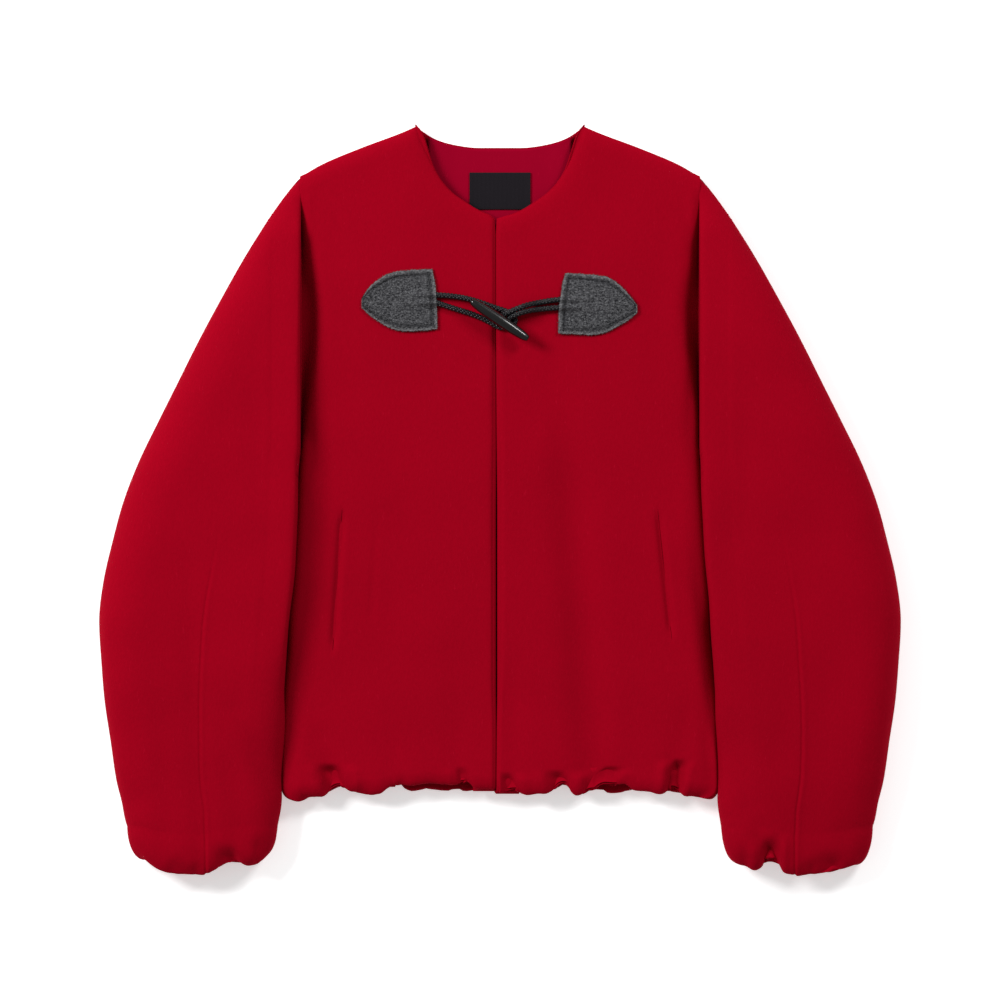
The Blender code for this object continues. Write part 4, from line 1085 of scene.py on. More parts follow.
def cuff_turn(t, u, side, middle_roll, lip_z, shorter):
    """Where a cuff's roll starts and ends, and its mouth. t is the way across the sleeve where
    the roll starts, and u where it ends.
    """
    cuff = LEFT_CUFF if side < 0 else RIGHT_CUFF
    flat = np.zeros_like(t)
    q0, _ = sleeve_plan(t, flat)
    mouth_q = sleeve_plan(u, flat)[0] + CUFF_MOUTH_INSET * (1 - 2 * u)
    to_corner = (1 - 2 * t) ** 2
    low_y = along(cuff, (q0 + mouth_q) / 2) + shorter * (1 - to_corner)
    start_y = low_y + middle_roll + (CUFF_START_Y - low_y - middle_roll) * to_corner
    corner_z = CUFF_CORNER_Z if lip_z > CUFF_CORNER_Z else CUFF_CORNER_Z - SEAM_GAP
    lip = corner_z + (lip_z - corner_z) * (1 - (1 - 2 * u) ** 2)
    return start_y, low_y, (mouth_q, lip)


def top_sleeve_point(u, station, side):
    """Below the armhole the first part of u goes round the bulge over the inner seam."""
    v = np.clip(station, 0, 1)
    share = along(OVERHANG_SHARE, along(SLEEVE_ROWS, 1 - v))
    bulge = np.maximum(BULGE_TO * share, 1e-9)
    t = np.clip((u - bulge) / (1 - bulge), 0, 1)
    angle = OVERHANG_ANGLE * share * np.clip(1 - u / bulge, 0, 1)
    behind = OVERHANG_RADIUS * (1 - np.cos(angle))
    start_y, low_y, mouth = cuff_turn(t, u, side, CUFF_ROLL, CUFF_LIP_Z, 0)
    q0, y0 = sleeve_plan(t, np.zeros_like(t))
    q, y = sleeve_plan(t, v)
    y = y + (start_y - y0) * np.clip(1 - v / HEM_BLEND, 0, 1) ** 2
    z = sleeve_height(q, y, side) * (1 - np.sin(angle))
    z0 = sleeve_height(q0, start_y, side) * (1 - np.sin(angle))
    rolled = roll_under((q0 + behind, z0), mouth, low_y, start_y - low_y, station)
    return pick(station, (q + behind, y, z), rolled)


def under_sleeve_point(u, station, side):
    v = np.clip(station, 0, 1)
    start_y, low_y, mouth = cuff_turn(
        u, u, side, UNDER_CUFF_ROLL, UNDER_CUFF_LIP_Z, UNDER_CUFF_SHORTER
    )
    q0, y0 = sleeve_plan(u, np.zeros_like(u))
    q, y = sleeve_plan(u, v)
    y = y + (start_y - y0) * np.clip(1 - v / HEM_BLEND, 0, 1) ** 2
    q = q + overhang(y) * (1 - u) ** 2
    q0 = q0 + overhang(start_y) * (1 - u) ** 2
    z = under_sleeve_height(q, y)
    z0 = under_sleeve_height(q0, start_y)
    rolled = roll_under((q0, z0), mouth, low_y, start_y - low_y, station)
    return pick(station, (q, y, z), rolled)


def pick(station, panel, rolled):
    """The panel's points, or those of its roll where the station is below 0."""
    return [np.where(station < 0, turned, flat) for flat, turned in zip(panel, rolled)]


def facing_point(u, station, side):
    q = (2 * u - 1) * FACING_REACH
    top = along(BACK_NECKLINE, np.abs(q)) - FACING_EDGE
    foot = along(FRONT_NECKLINE, np.abs(q)) - FACING_BELOW_NECKLINE
    y = foot + (top - foot) * station
    return q, y, facing_height(q, y)


def facing_height(q, y):
    """Height of the upper side of the neck facing, which lies on the back's inside."""
    slope_q = (back_height(q + 0.001, y) - back_height(q - 0.001, y)) / 0.002
    slope_y = (back_height(q, y + 0.001) - back_height(q, y - 0.001)) / 0.002
    off = (WOOL + SEAM_GAP + FACING_CLOTH) * np.hypot(1, np.hypot(slope_q, slope_y))
    to_shoulder = ease((np.abs(q) - FACING_LEVEL_TO) / FACING_RISES_OVER)
    return back_height(q, y) + off + FACING_CLEARANCE * to_shoulder


def label_point(u, station, side):
    q = (u - 0.5) * LABEL_WIDE
    y = LABEL_TOP_Y - LABEL_TALL * (1 - station)
    return q, y, facing_height(q, y) + SEAM_GAP + LABEL_CLOTH


def patch_point(u, station, side):
    edges = PATCH_EDGES[side]
    q = edges[0][0] + (edges[-1][0] - edges[0][0]) * (1 - (1 - u) ** 1.25)
    upper, lower = along(edges, q), along(edges, q, 2)
    y = lower + (upper - lower) * station
    q = q + PATCH_LEAN[side] * (1 - station**PATCH_BOW) * (1 - u)
    return q, y, front_height(q, y, side) + LAY_GAP + TWEED


def pocket_facing_point(u, station, side):
    """A strip behind the slit, on the inside of the front."""
    top, foot = np.array(POCKET_TOP), np.array(POCKET_FOOT[side])
    way = (top - foot) / np.linalg.norm(top - foot)
    foot = foot - way * POCKET_FACING_PAST
    top = top + way * POCKET_FACING_PAST
    q = foot[0] + (top[0] - foot[0]) * station + (2 * u - 1) * POCKET_FACING_REACH
    y = foot[1] + (top[1] - foot[1]) * station
    return q, y, front_height(q, y, side) - WOOL - LAY_GAP


def creases(table, q, y):
    """Soft creases, given one by one, as troughs() makes the largest folds."""
    return troughs(table, q, y)


def looseness(q, y, side):
    """Slow unevenness, in or out, of cloth that lies loose."""
    rise = np.zeros_like(q)
    for waves_q, waves_y, phase, height in LOOSE:
        rise += height * np.sin(2 * math.pi * (waves_q * q + waves_y * y) + phase * (2 + side))
    return rise


def tucks(table, q, flat_y):
    """How far the sharp tucks go in. flat_y is y as if the roll were unrolled."""
    depth = np.zeros_like(q)
    for q1, y1, q2, y2, half_width, deep, wider in table:
        share = (y1 - flat_y) / (y1 - y2)
        line_q = q1 + (q2 - q1) * np.clip(share, 0, 1.6)
        aside = (q - line_q) / half_width
        aside = np.where(aside * wider > 0, aside / TUCK_WIDER, aside)
        start = ease((y1 - flat_y) / TUCK_STARTS_OVER)
        pushed = 0.30 * np.exp(-((np.abs(q - line_q) / half_width - 3.2) ** 2) / 1.6)
        depth += deep * start * (np.exp(-(aside**2)) - pushed)
    return depth


def gathers(q, flat_y, low_y):
    """Fine gathers, deepest at the casing."""
    wave = np.zeros_like(q)
    for length, phase in GATHERS:
        wave += np.sin(2 * math.pi * q / length + phase + 2.3 * np.sin(q / 0.021))
    reach = 1 - ease((flat_y - low_y) / GATHER_REACH)
    return GATHER_DEPTH * wave * reach


def hem_lift(side, q):
    """How much higher the front hem lies at q."""
    lift = np.zeros_like(q)
    for start, end, high in HEM_LIFTS.get(side, ()):
        inside = ease((q - start) / HEM_LIFT_ENDS) * ease((end - q) / HEM_LIFT_ENDS)
        lift += high * inside
    return lift


def outwards(places):
    """The grid's outward directions, from its neighbouring points."""
    along_u = np.gradient(places, axis=1)
    along_v = np.gradient(places, axis=0)
    normal = np.cross(along_u, along_v)
    return normal / np.maximum(np.linalg.norm(normal, axis=2, keepdims=True), 1e-12)


def spread(start, end, step, crowds=()):
    """Places from start to end, step apart, and closer by each (place, reach, times) of crowds."""
    fine = np.linspace(start, end, 4001)
    density = np.ones_like(fine)
    for place, reach, times in crowds:
        density += (times - 1) * np.exp(-(((fine - place) / reach) ** 2))
    total = np.concatenate([[0], np.cumsum((density[1:] + density[:-1]) / 2 * np.diff(fine))])
    count = max(2, round(total[-1] / step))
    return np.interp(np.linspace(0, total[-1], count + 1), total, fine)


def sheet_grid(name, places, material, thick, mirrored, ripped=None):
    """A piece of cloth from a grid laid through these places, an array of rows of points.

    ripped says which vertices of one column are opened into a slit.
    """
    grid = bmesh.new()
    up, across = places.shape[0] - 1, places.shape[1] - 1
    bmesh.ops.create_grid(grid, x_segments=across, y_segments=up, size=0.5)
    flat = np.array([vertex.co[:2] for vertex in grid.verts]) + 0.5
    column = np.rint(flat[:, 0] * across).astype(int)
    row = np.rint(flat[:, 1] * up).astype(int)
    for vertex, place in zip(grid.verts, places[row, column]):
        vertex.co = place
    if ripped:
        open_slit(grid, column, row, ripped)
    if mirrored:
        bmesh.ops.reverse_faces(grid, faces=grid.faces)
    mesh = bpy.data.meshes.new(name)
    grid.to_mesh(mesh)
    grid.free()
    mesh.shade_smooth()
    made = place_piece(name, mesh, material)
    wall = made.modifiers.new("Wall", "SOLIDIFY")
    wall.thickness = thick
    wall.offset = -1
    return made


def open_slit(grid, column, row, ripped):
    """Parts the cloth along one column, from the first of these rows to the last."""
    slit_column, first, last, half_widths, way = ripped
    grid.verts.ensure_lookup_table()
    on_slit = {}
    for index in np.nonzero(column == slit_column)[0]:
        if first <= row[index] <= last:
            on_slit[grid.verts[int(index)]] = int(row[index])
    parted = [edge for edge in grid.edges if all(vertex in on_slit for vertex in edge.verts)]
    places = {tuple(vertex.co): half_widths[r - first] for vertex, r in on_slit.items()}
    bmesh.ops.split_edges(grid, edges=parted)
    way = Vector(way)
    for vertex in grid.verts:
        half = places.get(tuple(vertex.co))
        if half:
            middle = sum((face.calc_center_median() for face in vertex.link_faces), Vector())
            aside = (middle / len(vertex.link_faces) - vertex.co).dot(way)
            vertex.co += way * math.copysign(half, aside)


def place_piece(name, data, material):
    made = bpy.data.objects.new(name, data)
    bpy.context.scene.collection.objects.link(made)
    data.materials.append(material)
    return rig.ride(made, "root")


def stack(q, y, z, side):
    """Rows of places in the jacket's frame from half-frame values."""
    return np.stack([q * (side or 1), y, z], axis=2)


def front_shape(side):
    """A front's surface: its panel, hem roll and turned-in middle edge, with folds and gathers."""
    hem = LEFT_HEM if side < 0 else RIGHT_HEM

    def shape(u, station):
        line = slit_line(side, station)
        folded = np.clip(-u, 0, 1)
        u = u + line[0] * np.exp(-(((u - line[1]) / SLIT_PULL_WIDE) ** 2))
        u = np.clip(u, 0, 1)
        q, y, z = front_point(u, station, side)
        q0, _ = front_plan(u, np.zeros_like(u), side)
        turn = HEM_CORNER_TURN * ease((u - HEM_CORNER_FROM) / (1 - HEM_CORNER_FROM))
        low_y = along(hem, q0 - turn / 2)
        roll_arc = np.clip(-station, 0, 1) * FRONT_ROLL_ARC
        flat_y = np.where(station >= 0, y, low_y + HEM_ROLL - roll_arc)
        low = np.clip(1 - (flat_y - low_y) / 0.05, 0, 1)
        y = y + hem_lift(side, q) * low**1.5
        places = np.stack([q, y, z], axis=2)
        edge = ease(u / 0.03) * ease((1 - u) / 0.06)
        rise = -creases(FRONT_CREASES[side], q, flat_y) * edge
        rise += looseness(q, flat_y, side) * edge * shade_off(q, flat_y)
        rise -= tucks(HEM_TUCKS[side], q, flat_y) * ease((1 - u) / 0.05) * ease(u / 0.008)
        rise += FRONT_GATHERS * gathers(q + FRONT_GATHER_SHIFT * side, flat_y, low_y) * edge
        rise -= pocket_dip(side, q, flat_y)
        places = places + outwards(places) * rise[..., None]
        for table in (ARMHOLE_RISE[side], ARMHOLE_HOLLOW[side]):
            places = full_edge(places[:, ::-1], table)[:, ::-1]
        places[..., 0] += (SIDE_CLOSING + along(SIDE_LEAN, y)) * ease((u - 0.94) / 0.06)
        places = fold_edge(places, folded)
        places[..., 0] *= side
        return places

    return shape


def fold_edge(places, folded):
    """Rolls a front's middle edge under and lays its turned-in ply beneath.

    folded runs from 0 at the outer side, through 0.5 at the end of the roll, to 1 at the ply's end.
    """
    q, y, z = (places[..., i] for i in range(3))
    below_neck = ease((EDGE_TOP - y) / 0.02)
    angle = math.pi * np.clip(folded * 2, 0, 1)
    radius = along(EDGE_RADIUS, y) * (0.3 + 0.7 * below_neck)
    ply = (0.0006 + EDGE_PLY * below_neck) * np.clip(folded * 2 - 1, 0, 1)
    near = np.clip((q - q[:, :1]) / EDGE_NEAR, 0, 1)
    seam_y = np.clip(y, LEFT_CENTRE_EDGE[0][0], LEFT_CENTRE_EDGE[-1][0])
    between = along(LEFT_CENTRE_EDGE, seam_y) + along(RIGHT_CENTRE_EDGE, seam_y)
    closing = (between / 2 - along(EDGE_OPEN, y)) * below_neck
    q = q + (radius - closing) * (1 - near) ** 2 - radius * np.sin(angle) + ply
    z = z - radius * (1 - np.cos(angle))
    return np.stack([q, y, z], axis=2)


def full_edge(places, table):
    """Fills out, or hollows, a piece along its edge at the first column.

    The table's rows are (y, height, its place in from the edge, its reach).
    """
    steps = np.linalg.norm(np.diff(places, axis=1), axis=2)
    arc = np.concatenate([np.zeros((len(places), 1)), np.cumsum(steps, axis=1)], axis=1)
    high, place, reach = (along(table, places[..., 1], column) for column in (1, 2, 3))
    lifted = places.copy()
    lifted[..., 2] += high * np.exp(-(((arc - place) / reach) ** 2)) * ease(arc / 0.002)
    return lifted


def square_edge(places, strengths):
    """Squares a sleeve up along its inner edge, as stuffed cloth stands against the body."""
    lifted = places.copy()
    for row, (q, y, z) in enumerate(np.moveaxis(places, 2, 1)):
        start = q.argmin()
        level = np.interp(q[start] + SQUARE_REACH, q[start:], z[start:])
        near = np.clip((q - q[start]) / SQUARE_REACH, 0, 1)
        full = z[start] + (level - z[start]) * (1 - (1 - near) ** SQUARE_POWER) ** (1 / SQUARE_POWER)
        raised_z = z + (np.maximum(full, z) - z) * along(strengths, y)
        lifted[row, start:, 2] = np.where(near < 1, raised_z, z)[start:]
        lifted[row, :, 0] -= along(SLEEVE_LEAN, y) * (1 - near) ** 2
    return lifted


def pocket_dip(side, q, y):
    """How far the lips of a pocket slit turn in."""
    (top_q, top_y), (foot_q, foot_y) = POCKET_TOP, POCKET_FOOT[side]
    share = (top_y - y) / (top_y - foot_y)
    aside = (q - top_q - (foot_q - top_q) * np.clip(share, 0, 1)) / POCKET_LIP_WIDE
    return POCKET_LIP_DEEP * np.exp(-(aside**2)) * ease(share / 0.15) * ease((1 - share) / 0.15)


def shade_off(q, y):
    """0 round the neckline and shoulder, where the cloth stays close to its seams, else 1."""
    return ease(shoulder_distance(q, y) / 0.05) * ease(neck_distance(q, y) / 0.04)


def slit_line(side, station):
    """(shift, place) in u that brings one column onto the pocket slit at this station."""
    v = np.clip(station, 0, 1)
    (top_q, top_y), (foot_q, foot_y) = POCKET_TOP, POCKET_FOOT[side]
    _, y = front_plan(np.full_like(v, SLIT_LEVEL_U), v, side)
    share = np.clip((top_y - y) / (top_y - foot_y), -0.4, 1.4)
    slit_q = top_q + (foot_q - top_q) * share
    q_in, _ = front_plan(np.zeros_like(v), v, side)
    q_out, _ = front_plan(np.ones_like(v), v, side)
    wanted = (slit_q - q_in) / (q_out - q_in)
    near = ease((share + 0.4) / 0.3) * ease((1.4 - share) / 0.3)
    return (wanted - SLIT_U[side]) * near, SLIT_U[side]



def make_front(side, hand, material):
    """One front, with its pocket slit parted along a column of its grid."""
    crowds = [(0.0, 0.03, 3), (1.0, 0.05, 3), (SLIT_U[side], 0.02, 3)]
    crowds += [(tuck[2] / 0.197, 0.035, 3.2) for tuck in HEM_TUCKS[side]]
    fold = np.concatenate([[-1, -0.8], np.linspace(-0.5, 0, 8, endpoint=False)])
    columns = np.concatenate([fold, spread(0, 1, 0.0128, crowds)[:-1], [0.9997, 1]])
    slit_column = int(np.argmin(np.abs(columns - SLIT_U[side])))
    columns[slit_column] = SLIT_U[side]
    roll = spread(-1, 0, 0.05)
    panel = spread(0, 1, 0.0054, ((0.0, 0.05, 3), (1.0, 0.05, 2.2), (0.9, 0.05, 1.6)))
    stations = np.concatenate([[-2, -1.5], roll[:-1], panel[:-1], [0.9999, 1]])
    places = front_shape(side)(*np.meshgrid(columns, stations))
    line = places[:, slit_column]
    inside = (line[:, 1] < POCKET_TOP[1]) & (line[:, 1] > POCKET_FOOT[side][1]) & (stations > 0)
    first, last = np.nonzero(inside)[0][[0, -1]]
    share = np.linspace(0, 1, last - first + 1)
    half_widths = POCKET_PARTED * np.sqrt(np.clip(1 - (2 * share - 1) ** 2, 0, 1))
    ripped = (slit_column, first, last, half_widths, (1, 0, 0))
    piece = sheet_grid(f"front_{hand}_cloth", places, material, WOOL, side < 0, ripped)
    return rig.replaces(piece, f"front_{hand}")


def make_back(material):
    """The back, whose hem follows those of the two fronts."""
    def shape(u, station):
        q, y, z = back_point(u, station, 0)
        half_q = np.abs(q)
        roll_arc = np.clip(-station, 0, 1) * BACK_ROLL_ARC
        low_y = np.where(q < 0, along(LEFT_HEM, half_q), along(RIGHT_HEM, half_q))
        flat_y = np.where(station >= 0, y, low_y - roll_arc)
        for side in (-1, 1):
            lower = hem_lift(side, half_q) * (q * side > 0)
            y = y - BACK_LIFT_SHARE * lower * ease(1 - (y - low_y) / 0.03)
        ends = ease((0.03 - u) / 0.03) + ease((u - 0.97) / 0.03)
        q = q + np.sign(q) * along(SIDE_LEAN, y) * ends
        places = np.stack([q, y, z], axis=2)
        edge = ease(u / 0.06) * ease((1 - u) / 0.06)
        rise = -tucks(BACK_TUCKS, half_q, flat_y) * edge
        rise += gathers(q, flat_y, low_y) * edge * BACK_GATHERS
        rise = np.minimum(rise, 0)
        return places - outwards(places) * rise[..., None]

    columns = spread(0, 1, 0.0085, ((0.0, 0.03, 3), (1.0, 0.03, 3)))
    columns = np.concatenate([[0, 0.0003], columns[1:-1], [0.9997, 1]])
    roll = spread(-1, 0, 0.08)
    panel = spread(0, 1, 0.009, ((0.0, 0.05, 3), (1.0, 0.05, 2.4)))
    stations = np.concatenate([[-2, -1.5], roll[:-1], panel[:-1], [0.9999, 1]])
    places = shape(*np.meshgrid(columns, stations))
    piece = sheet_grid("back_cloth", places, material, WOOL, True)
    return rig.replaces(piece, "back")


def sleeve_shape(side):
    """A top sleeve's surface, with its creases, tucks, cuff gathers and the groove of its seam."""
    cuff = LEFT_CUFF if side < 0 else RIGHT_CUFF

    def shape(u, station):
        v = np.clip(station, 0, 1)
        q, y, z = top_sleeve_point(u, station, side)
        low_y = along(cuff, q)
        roll_arc = np.clip(-station, 0, 1) * CUFF_ROLL_ARC
        start = top_sleeve_point(u, np.zeros_like(u), side)[1]
        flat_y = np.where(station >= 0, y, start - roll_arc)
        places = square_edge(np.stack([q, y, z], axis=2), SQUARE_BY_Y)
        edge = ease(u / 0.06) * ease((1 - u) / 0.05) * ease((1 - v) / 0.12)
        rise = -creases(SLEEVE_CREASES[side], q, flat_y) * edge
        rise += SLEEVE_LOOSENESS * looseness(q, flat_y, side) * edge
        rise -= tucks(CUFF_TUCKS[side], q, flat_y) * ease(u / 0.05) * ease((1 - u) / 0.05)
        gathered = gathers(q + CUFF_GATHER_SHIFT * side, flat_y, low_y - CUFF_GATHERS_BELOW)
        rise += CUFF_GATHERS * gathered * edge
        seam_t = along(SLEEVE_SEAM[side], np.where(station >= 0, y, CUFF_START_Y))
        seam_q = sleeve_plan(seam_t, v)[0]
        aside = (q - seam_q) / SLEEVE_SEAM_WIDE
        shown = ease((SLEEVE_SEAM_TOP - flat_y) / 0.12)
        rise -= SLEEVE_SEAM_DEEP * np.exp(-(aside**2)) * shown
        rise += 0.5 * SLEEVE_SEAM_DEEP * np.exp(-(((aside - 2.4 * side) / 2) ** 2)) * shown
        places = places + outwards(places) * rise[..., None]
        places[..., 0] *= side
        return places

    return shape


def make_sleeve(side, hand, material):
    """The top and under halves of one sleeve."""
    seam_u = BULGE_TO + (1 - BULGE_TO) * 0.455
    crowds = [(0.0, 0.03, 4), (BULGE_TO, 0.03, 3), (1.0, 0.05, 3), (seam_u, 0.035, 2.6)]
    crowds += [((tuck[2] - 0.195) / 0.16, 0.05, 2) for tuck in CUFF_TUCKS[side]]
    columns = spread(0, 1, 0.0145, crowds)
    roll = spread(-1, 0, 0.03)
    panel = spread(0, 1, 0.0055, ((0.0, 0.06, 2.4), (1.0, 0.05, 2.4)))
    stations = np.concatenate([[-2, -1.5], roll[:-1], panel])
    places = sleeve_shape(side)(*np.meshgrid(columns, stations))
    top = sheet_grid(f"sleeve_{hand}_top_cloth", places, material, WOOL, side < 0)
    top.modifiers["Wall"].thickness_clamp = 1.0
    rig.replaces(top, f"sleeve_{hand}_top")

    def under(u, station):
        q, y, z = under_sleeve_point(u, station, side)
        q = q - along(SLEEVE_LEAN, y) * np.clip(1 - u / 0.1, 0, 1) ** 2
        at_seam = 1 - fall(edge_distance(SLEEVE_OUTLINE, q, y) / SHOULDER_ROUNDING)
        z = z + along(HEAD_CLOSING, y) * at_seam
        return stack(q, y, z, side)

    columns = spread(0, 1, 0.022, ((0.0, 0.05, 3), (1.0, 0.05, 3)))
    panel = spread(0, 1, 0.009, ((0.0, 0.06, 2.4), (1.0, 0.05, 2.4)))
    stations = np.concatenate([[-2, -1.5], spread(-1, 0, 0.08)[:-1], panel])
    places = under(*np.meshgrid(columns, stations))
    below = sheet_grid(f"sleeve_{hand}_under_cloth", places, material, WOOL, side > 0)
    below.modifiers["Wall"].thickness_clamp = 1.0
    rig.replaces(below, f"sleeve_{hand}_under")
    return top, below


def make_neck_facing(material, label_material):
    def shape(u, station):
        return stack(*facing_point(u, station, 0), 0)

    places = shape(*np.meshgrid(spread(0, 1, 0.02), spread(0, 1, 0.03)))
    facing = sheet_grid("back_neck_facing_cloth", places, material, FACING_CLOTH, False)
    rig.replaces(facing, "back_neck_facing")

    def label_shape(u, station):
        q, y, z = label_point(u, station, 0)
        ends = np.exp(-(((0.5 - np.abs(u - 0.5)) * LABEL_WIDE / LABEL_FOLD) ** 2))
        return stack(q, y, z + LABEL_FOLD_HIGH * ends, 0)

    columns = spread(0, 1, 0.02, ((0.0, 0.05, 4), (1.0, 0.05, 4)))
    places = label_shape(*np.meshgrid(columns, spread(0, 1, 0.04)))
    label = sheet_grid("label_cloth", places, label_material, LABEL_CLOTH, False)
    soft_edge = label.modifiers.new("Soft edge", "BEVEL")
    soft_edge.width = LABEL_CLOTH * 0.3
    soft_edge.segments = 2
    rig.replaces(label, "label")
    return facing, label


def make_pocket_facing(side, hand, material):
    def shape(u, station):
        return stack(*pocket_facing_point(u, station, side), side)

    places = shape(*np.meshgrid(spread(0, 1, 0.07), spread(0, 1, 0.02)))
    strip = sheet_grid(f"pocket_facing_{hand}_cloth", places, material, FACING_CLOTH, side < 0)
    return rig.replaces(strip, f"pocket_facing_{hand}")


def cord_ridges(side, q, y):
    """How far the cord ends beneath lift a patch."""
    lift = np.zeros_like(q)
    route = LEFT_LOOP if side < 0 else RIGHT_LOOP
    edge_q = abs(route[0][0])
    for end_y in (route[0][1], route[-1][1]):
        way = (q - edge_q) / RIDGE_REACH
        aside = (y - end_y) / RIDGE_WIDE
        lift += RIDGE_HIGH * np.exp(-(aside**2)) * ease(1 - way)
    return lift


def make_patch(side, hand, materials):
    tweed, thread = materials

    def shape(u, station):
        q, y, z = patch_point(u, station, side)
        rough = PATCH_ROUGH * (np.sin(q * 1900 + 2 * side) + np.sin(y * 2300 + q * 700))
        rim = np.maximum(1 - ease(station / 0.06), 1 - ease((1 - station) / 0.06))
        y = y + rough * rim
        q = q + rough * (1 - ease(u / 0.06))
        z = front_height(q, y, side) + LAY_GAP + TWEED + cord_ridges(side, q, y)
        inset = patch_inset(u, station)
        z = z - STITCH_PULL * np.exp(-(((inset - STITCH_INSET) / STITCH_PULL_WIDE) ** 2))
        z = z + PATCH_LUMPS * np.sin(q * 900 + 3 * np.sin(y * 310)) * np.sin(y * 820 + q * 240)
        return stack(q, y, z, side)

    grid = np.meshgrid(spread(0, 1, 0.014), spread(0, 1, 0.016))
    patch = sheet_grid(f"patch_{hand}_tweed", shape(*grid), tweed, TWEED, side < 0)
    inset = patch_inset(*grid)
    mark(patch, "rim", 1 - ease(inset / RIM_WIDE))
    # The groove's mask, by which the tweed is painted darker along the stitch line: painted shade in the pulled-in
    # groove
    mark(patch, "groove", np.exp(-(((inset - STITCH_INSET) / STITCH_PULL_WIDE) ** 2)))
    soft_edge = patch.modifiers.new("Soft edge", "BEVEL")
    soft_edge.width = TWEED * 0.35
    soft_edge.segments = 2
    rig.replaces(patch, f"patch_{hand}")
    rim = patch_rim(side, shape, 0.0006)
    fuzz = make_fuzz(f"patch_{hand}_fuzz", side, patch_rim(side, shape, 0.0), shape, tweed)
    stitches = make_stitches(f"patch_{hand}_stitches", patch_rim(side, shape, STITCH_INSET), thread)
    return patch, fuzz, stitches


def mark(piece, name, values):
    """Stores a value at each of a sheet's vertices, for its material to read."""
    layer = piece.data.attributes.new(name, "FLOAT", "POINT")
    layer.data.foreach_set("value", values.astype(np.float32).ravel())


def patch_inset(u, station):
    """About how far a place on a patch lies in from its nearest edge."""
    across = 0.066 * np.minimum(u, (1 - u) * 1.2)
    up = 0.054 * np.minimum(station, 1 - station) * (1 - 0.6 * u)
    return np.minimum(across, up)


def patch_rim(side, shape, inset):
    """Places round a patch, this far in from its edge, evenly apart."""
    corners = [(0, 0), (1, 0), (1, 1), (0, 1)]
    u, station = [], []
    for (u1, v1), (u2, v2) in zip(corners, corners[1:] + corners[:1]):
        share = np.linspace(0, 1, 160, endpoint=False)
        u.append(u1 + (u2 - u1) * share)
        station.append(v1 + (v2 - v1) * share)
    places = shape(np.concatenate(u)[None], np.concatenate(station)[None])[0]
    centre = places.mean(axis=0)
    if inset:
        ahead = np.roll(places, -3, axis=0) - np.roll(places, 3, axis=0)
        inward = np.cross([0, 0, 1], ahead)
        inward /= np.maximum(np.linalg.norm(inward, axis=1, keepdims=True), 1e-9)
        facing = np.sign(np.sum(inward * (centre - places), axis=1, keepdims=True))
        places = places + inward * facing * inset
        for _ in range(4):
            places = (np.roll(places, 1, axis=0) + places * 2 + np.roll(places, -1, axis=0)) / 4
        clear = [np.min(np.hypot(*(places - place)[:, :2].T)) for place in places]
        places = places[np.array(clear) < inset * 1.5]
    return places


def evenly_along(places, step):
    """Places this far apart along a closed line, and the line's direction at each."""
    ring = np.vstack([places, places[:1]])
    lengths = np.concatenate([[0], np.cumsum(np.linalg.norm(np.diff(ring, axis=0), axis=1))])
    count = round(lengths[-1] / step)
    at = np.arange(count) * lengths[-1] / count
    found = np.stack([np.interp(at, lengths, ring[:, i]) for i in range(3)], axis=1)
    ahead = np.stack([np.interp(at + step / 4, lengths, ring[:, i]) for i in range(3)], axis=1)
    way = ahead - found
    return found, way / np.linalg.norm(way, axis=1, keepdims=True)


def settle_faces(made):
    """Puts the faces in the order of their corners.

    The spin and create_uvsphere operators leave them in an order that changes from run to run.
    """
    made.verts.index_update()
    count = len(made.verts)

    def rank(face):
        low, middle, high = sorted(vertex.index for vertex in face.verts)[:3]
        return (low * count + middle) * count + high

    made.faces.sort(key=rank)
    made.faces.index_update()


def make_stitches(name, rim, thread):
    """A running stitch: short threads that dip into the cloth at both ends."""
    stitches = bmesh.new()
    for place, way in zip(*evenly_along(rim, STITCH_EVERY)):
        ends = bmesh.ops.create_uvsphere(stitches, u_segments=8, v_segments=6, radius=0.5)["verts"]
        turn = Vector(way).to_track_quat("X", "Z").to_matrix().to_4x4()
        size = Matrix.Diagonal((STITCH_LONG, STITCH_THICK, STITCH_THICK, 1))
        lift = Matrix.Translation(Vector(place) + Vector((0, 0, STITCH_THICK * 0.1)))
        bmesh.ops.transform(stitches, matrix=lift @ turn @ size, verts=ends)
    settle_faces(stitches)
    mesh = bpy.data.meshes.new(name)
    stitches.to_mesh(mesh)
    stitches.free()
    mesh.shade_smooth()
    return place_piece(name, mesh, thread)


def make_fuzz(name, side, rim, shape, material):
    """Short brushed fibres that stand out round a patch, and a few over its face."""
    chance = np.random.default_rng(5 + side)
    hairs = []
    found, ways = evenly_along(rim, PATCH_ROUND / FUZZ_HAIRS)
    centre = found.mean(axis=0)
    for place, way in zip(found, ways):
        out = np.cross(way, [0, 0, 1])
        out *= np.sign(np.dot(out, place - centre))
        lean = chance.normal(0, 0.7)
        out = out * math.cos(lean) + way * math.sin(lean)
        root = place - out * 0.0006 - np.array([0, 0, chance.uniform(0.0, TWEED * 0.8)])
        long = chance.uniform(*FUZZ_LONG)
        curl = np.array([0, 0, chance.uniform(-0.3, 0.7)])
        bent = (out + curl) * long + way * chance.normal(0, 0.0003)
        hairs.append([root, root + (out + curl * 0.4) * long * 0.6, root + bent])
    u, v = chance.uniform(0.03, 0.93, (2, 1, FUZZ_HAIRS))
    for place in shape(u, v)[0]:
        turn = chance.uniform(0, 2 * math.pi)
        way = np.array([math.cos(turn), math.sin(turn), 0]) * chance.uniform(*FUZZ_LONG)
        up = np.array([0, 0, chance.uniform(0.0001, 0.0005)])
        hairs.append([place, place + way * 0.5 + up, place + way])
    return tubes(name, hairs, FIBRE, [(1.0, 1.0, 0.35)] * len(hairs), 0, material)


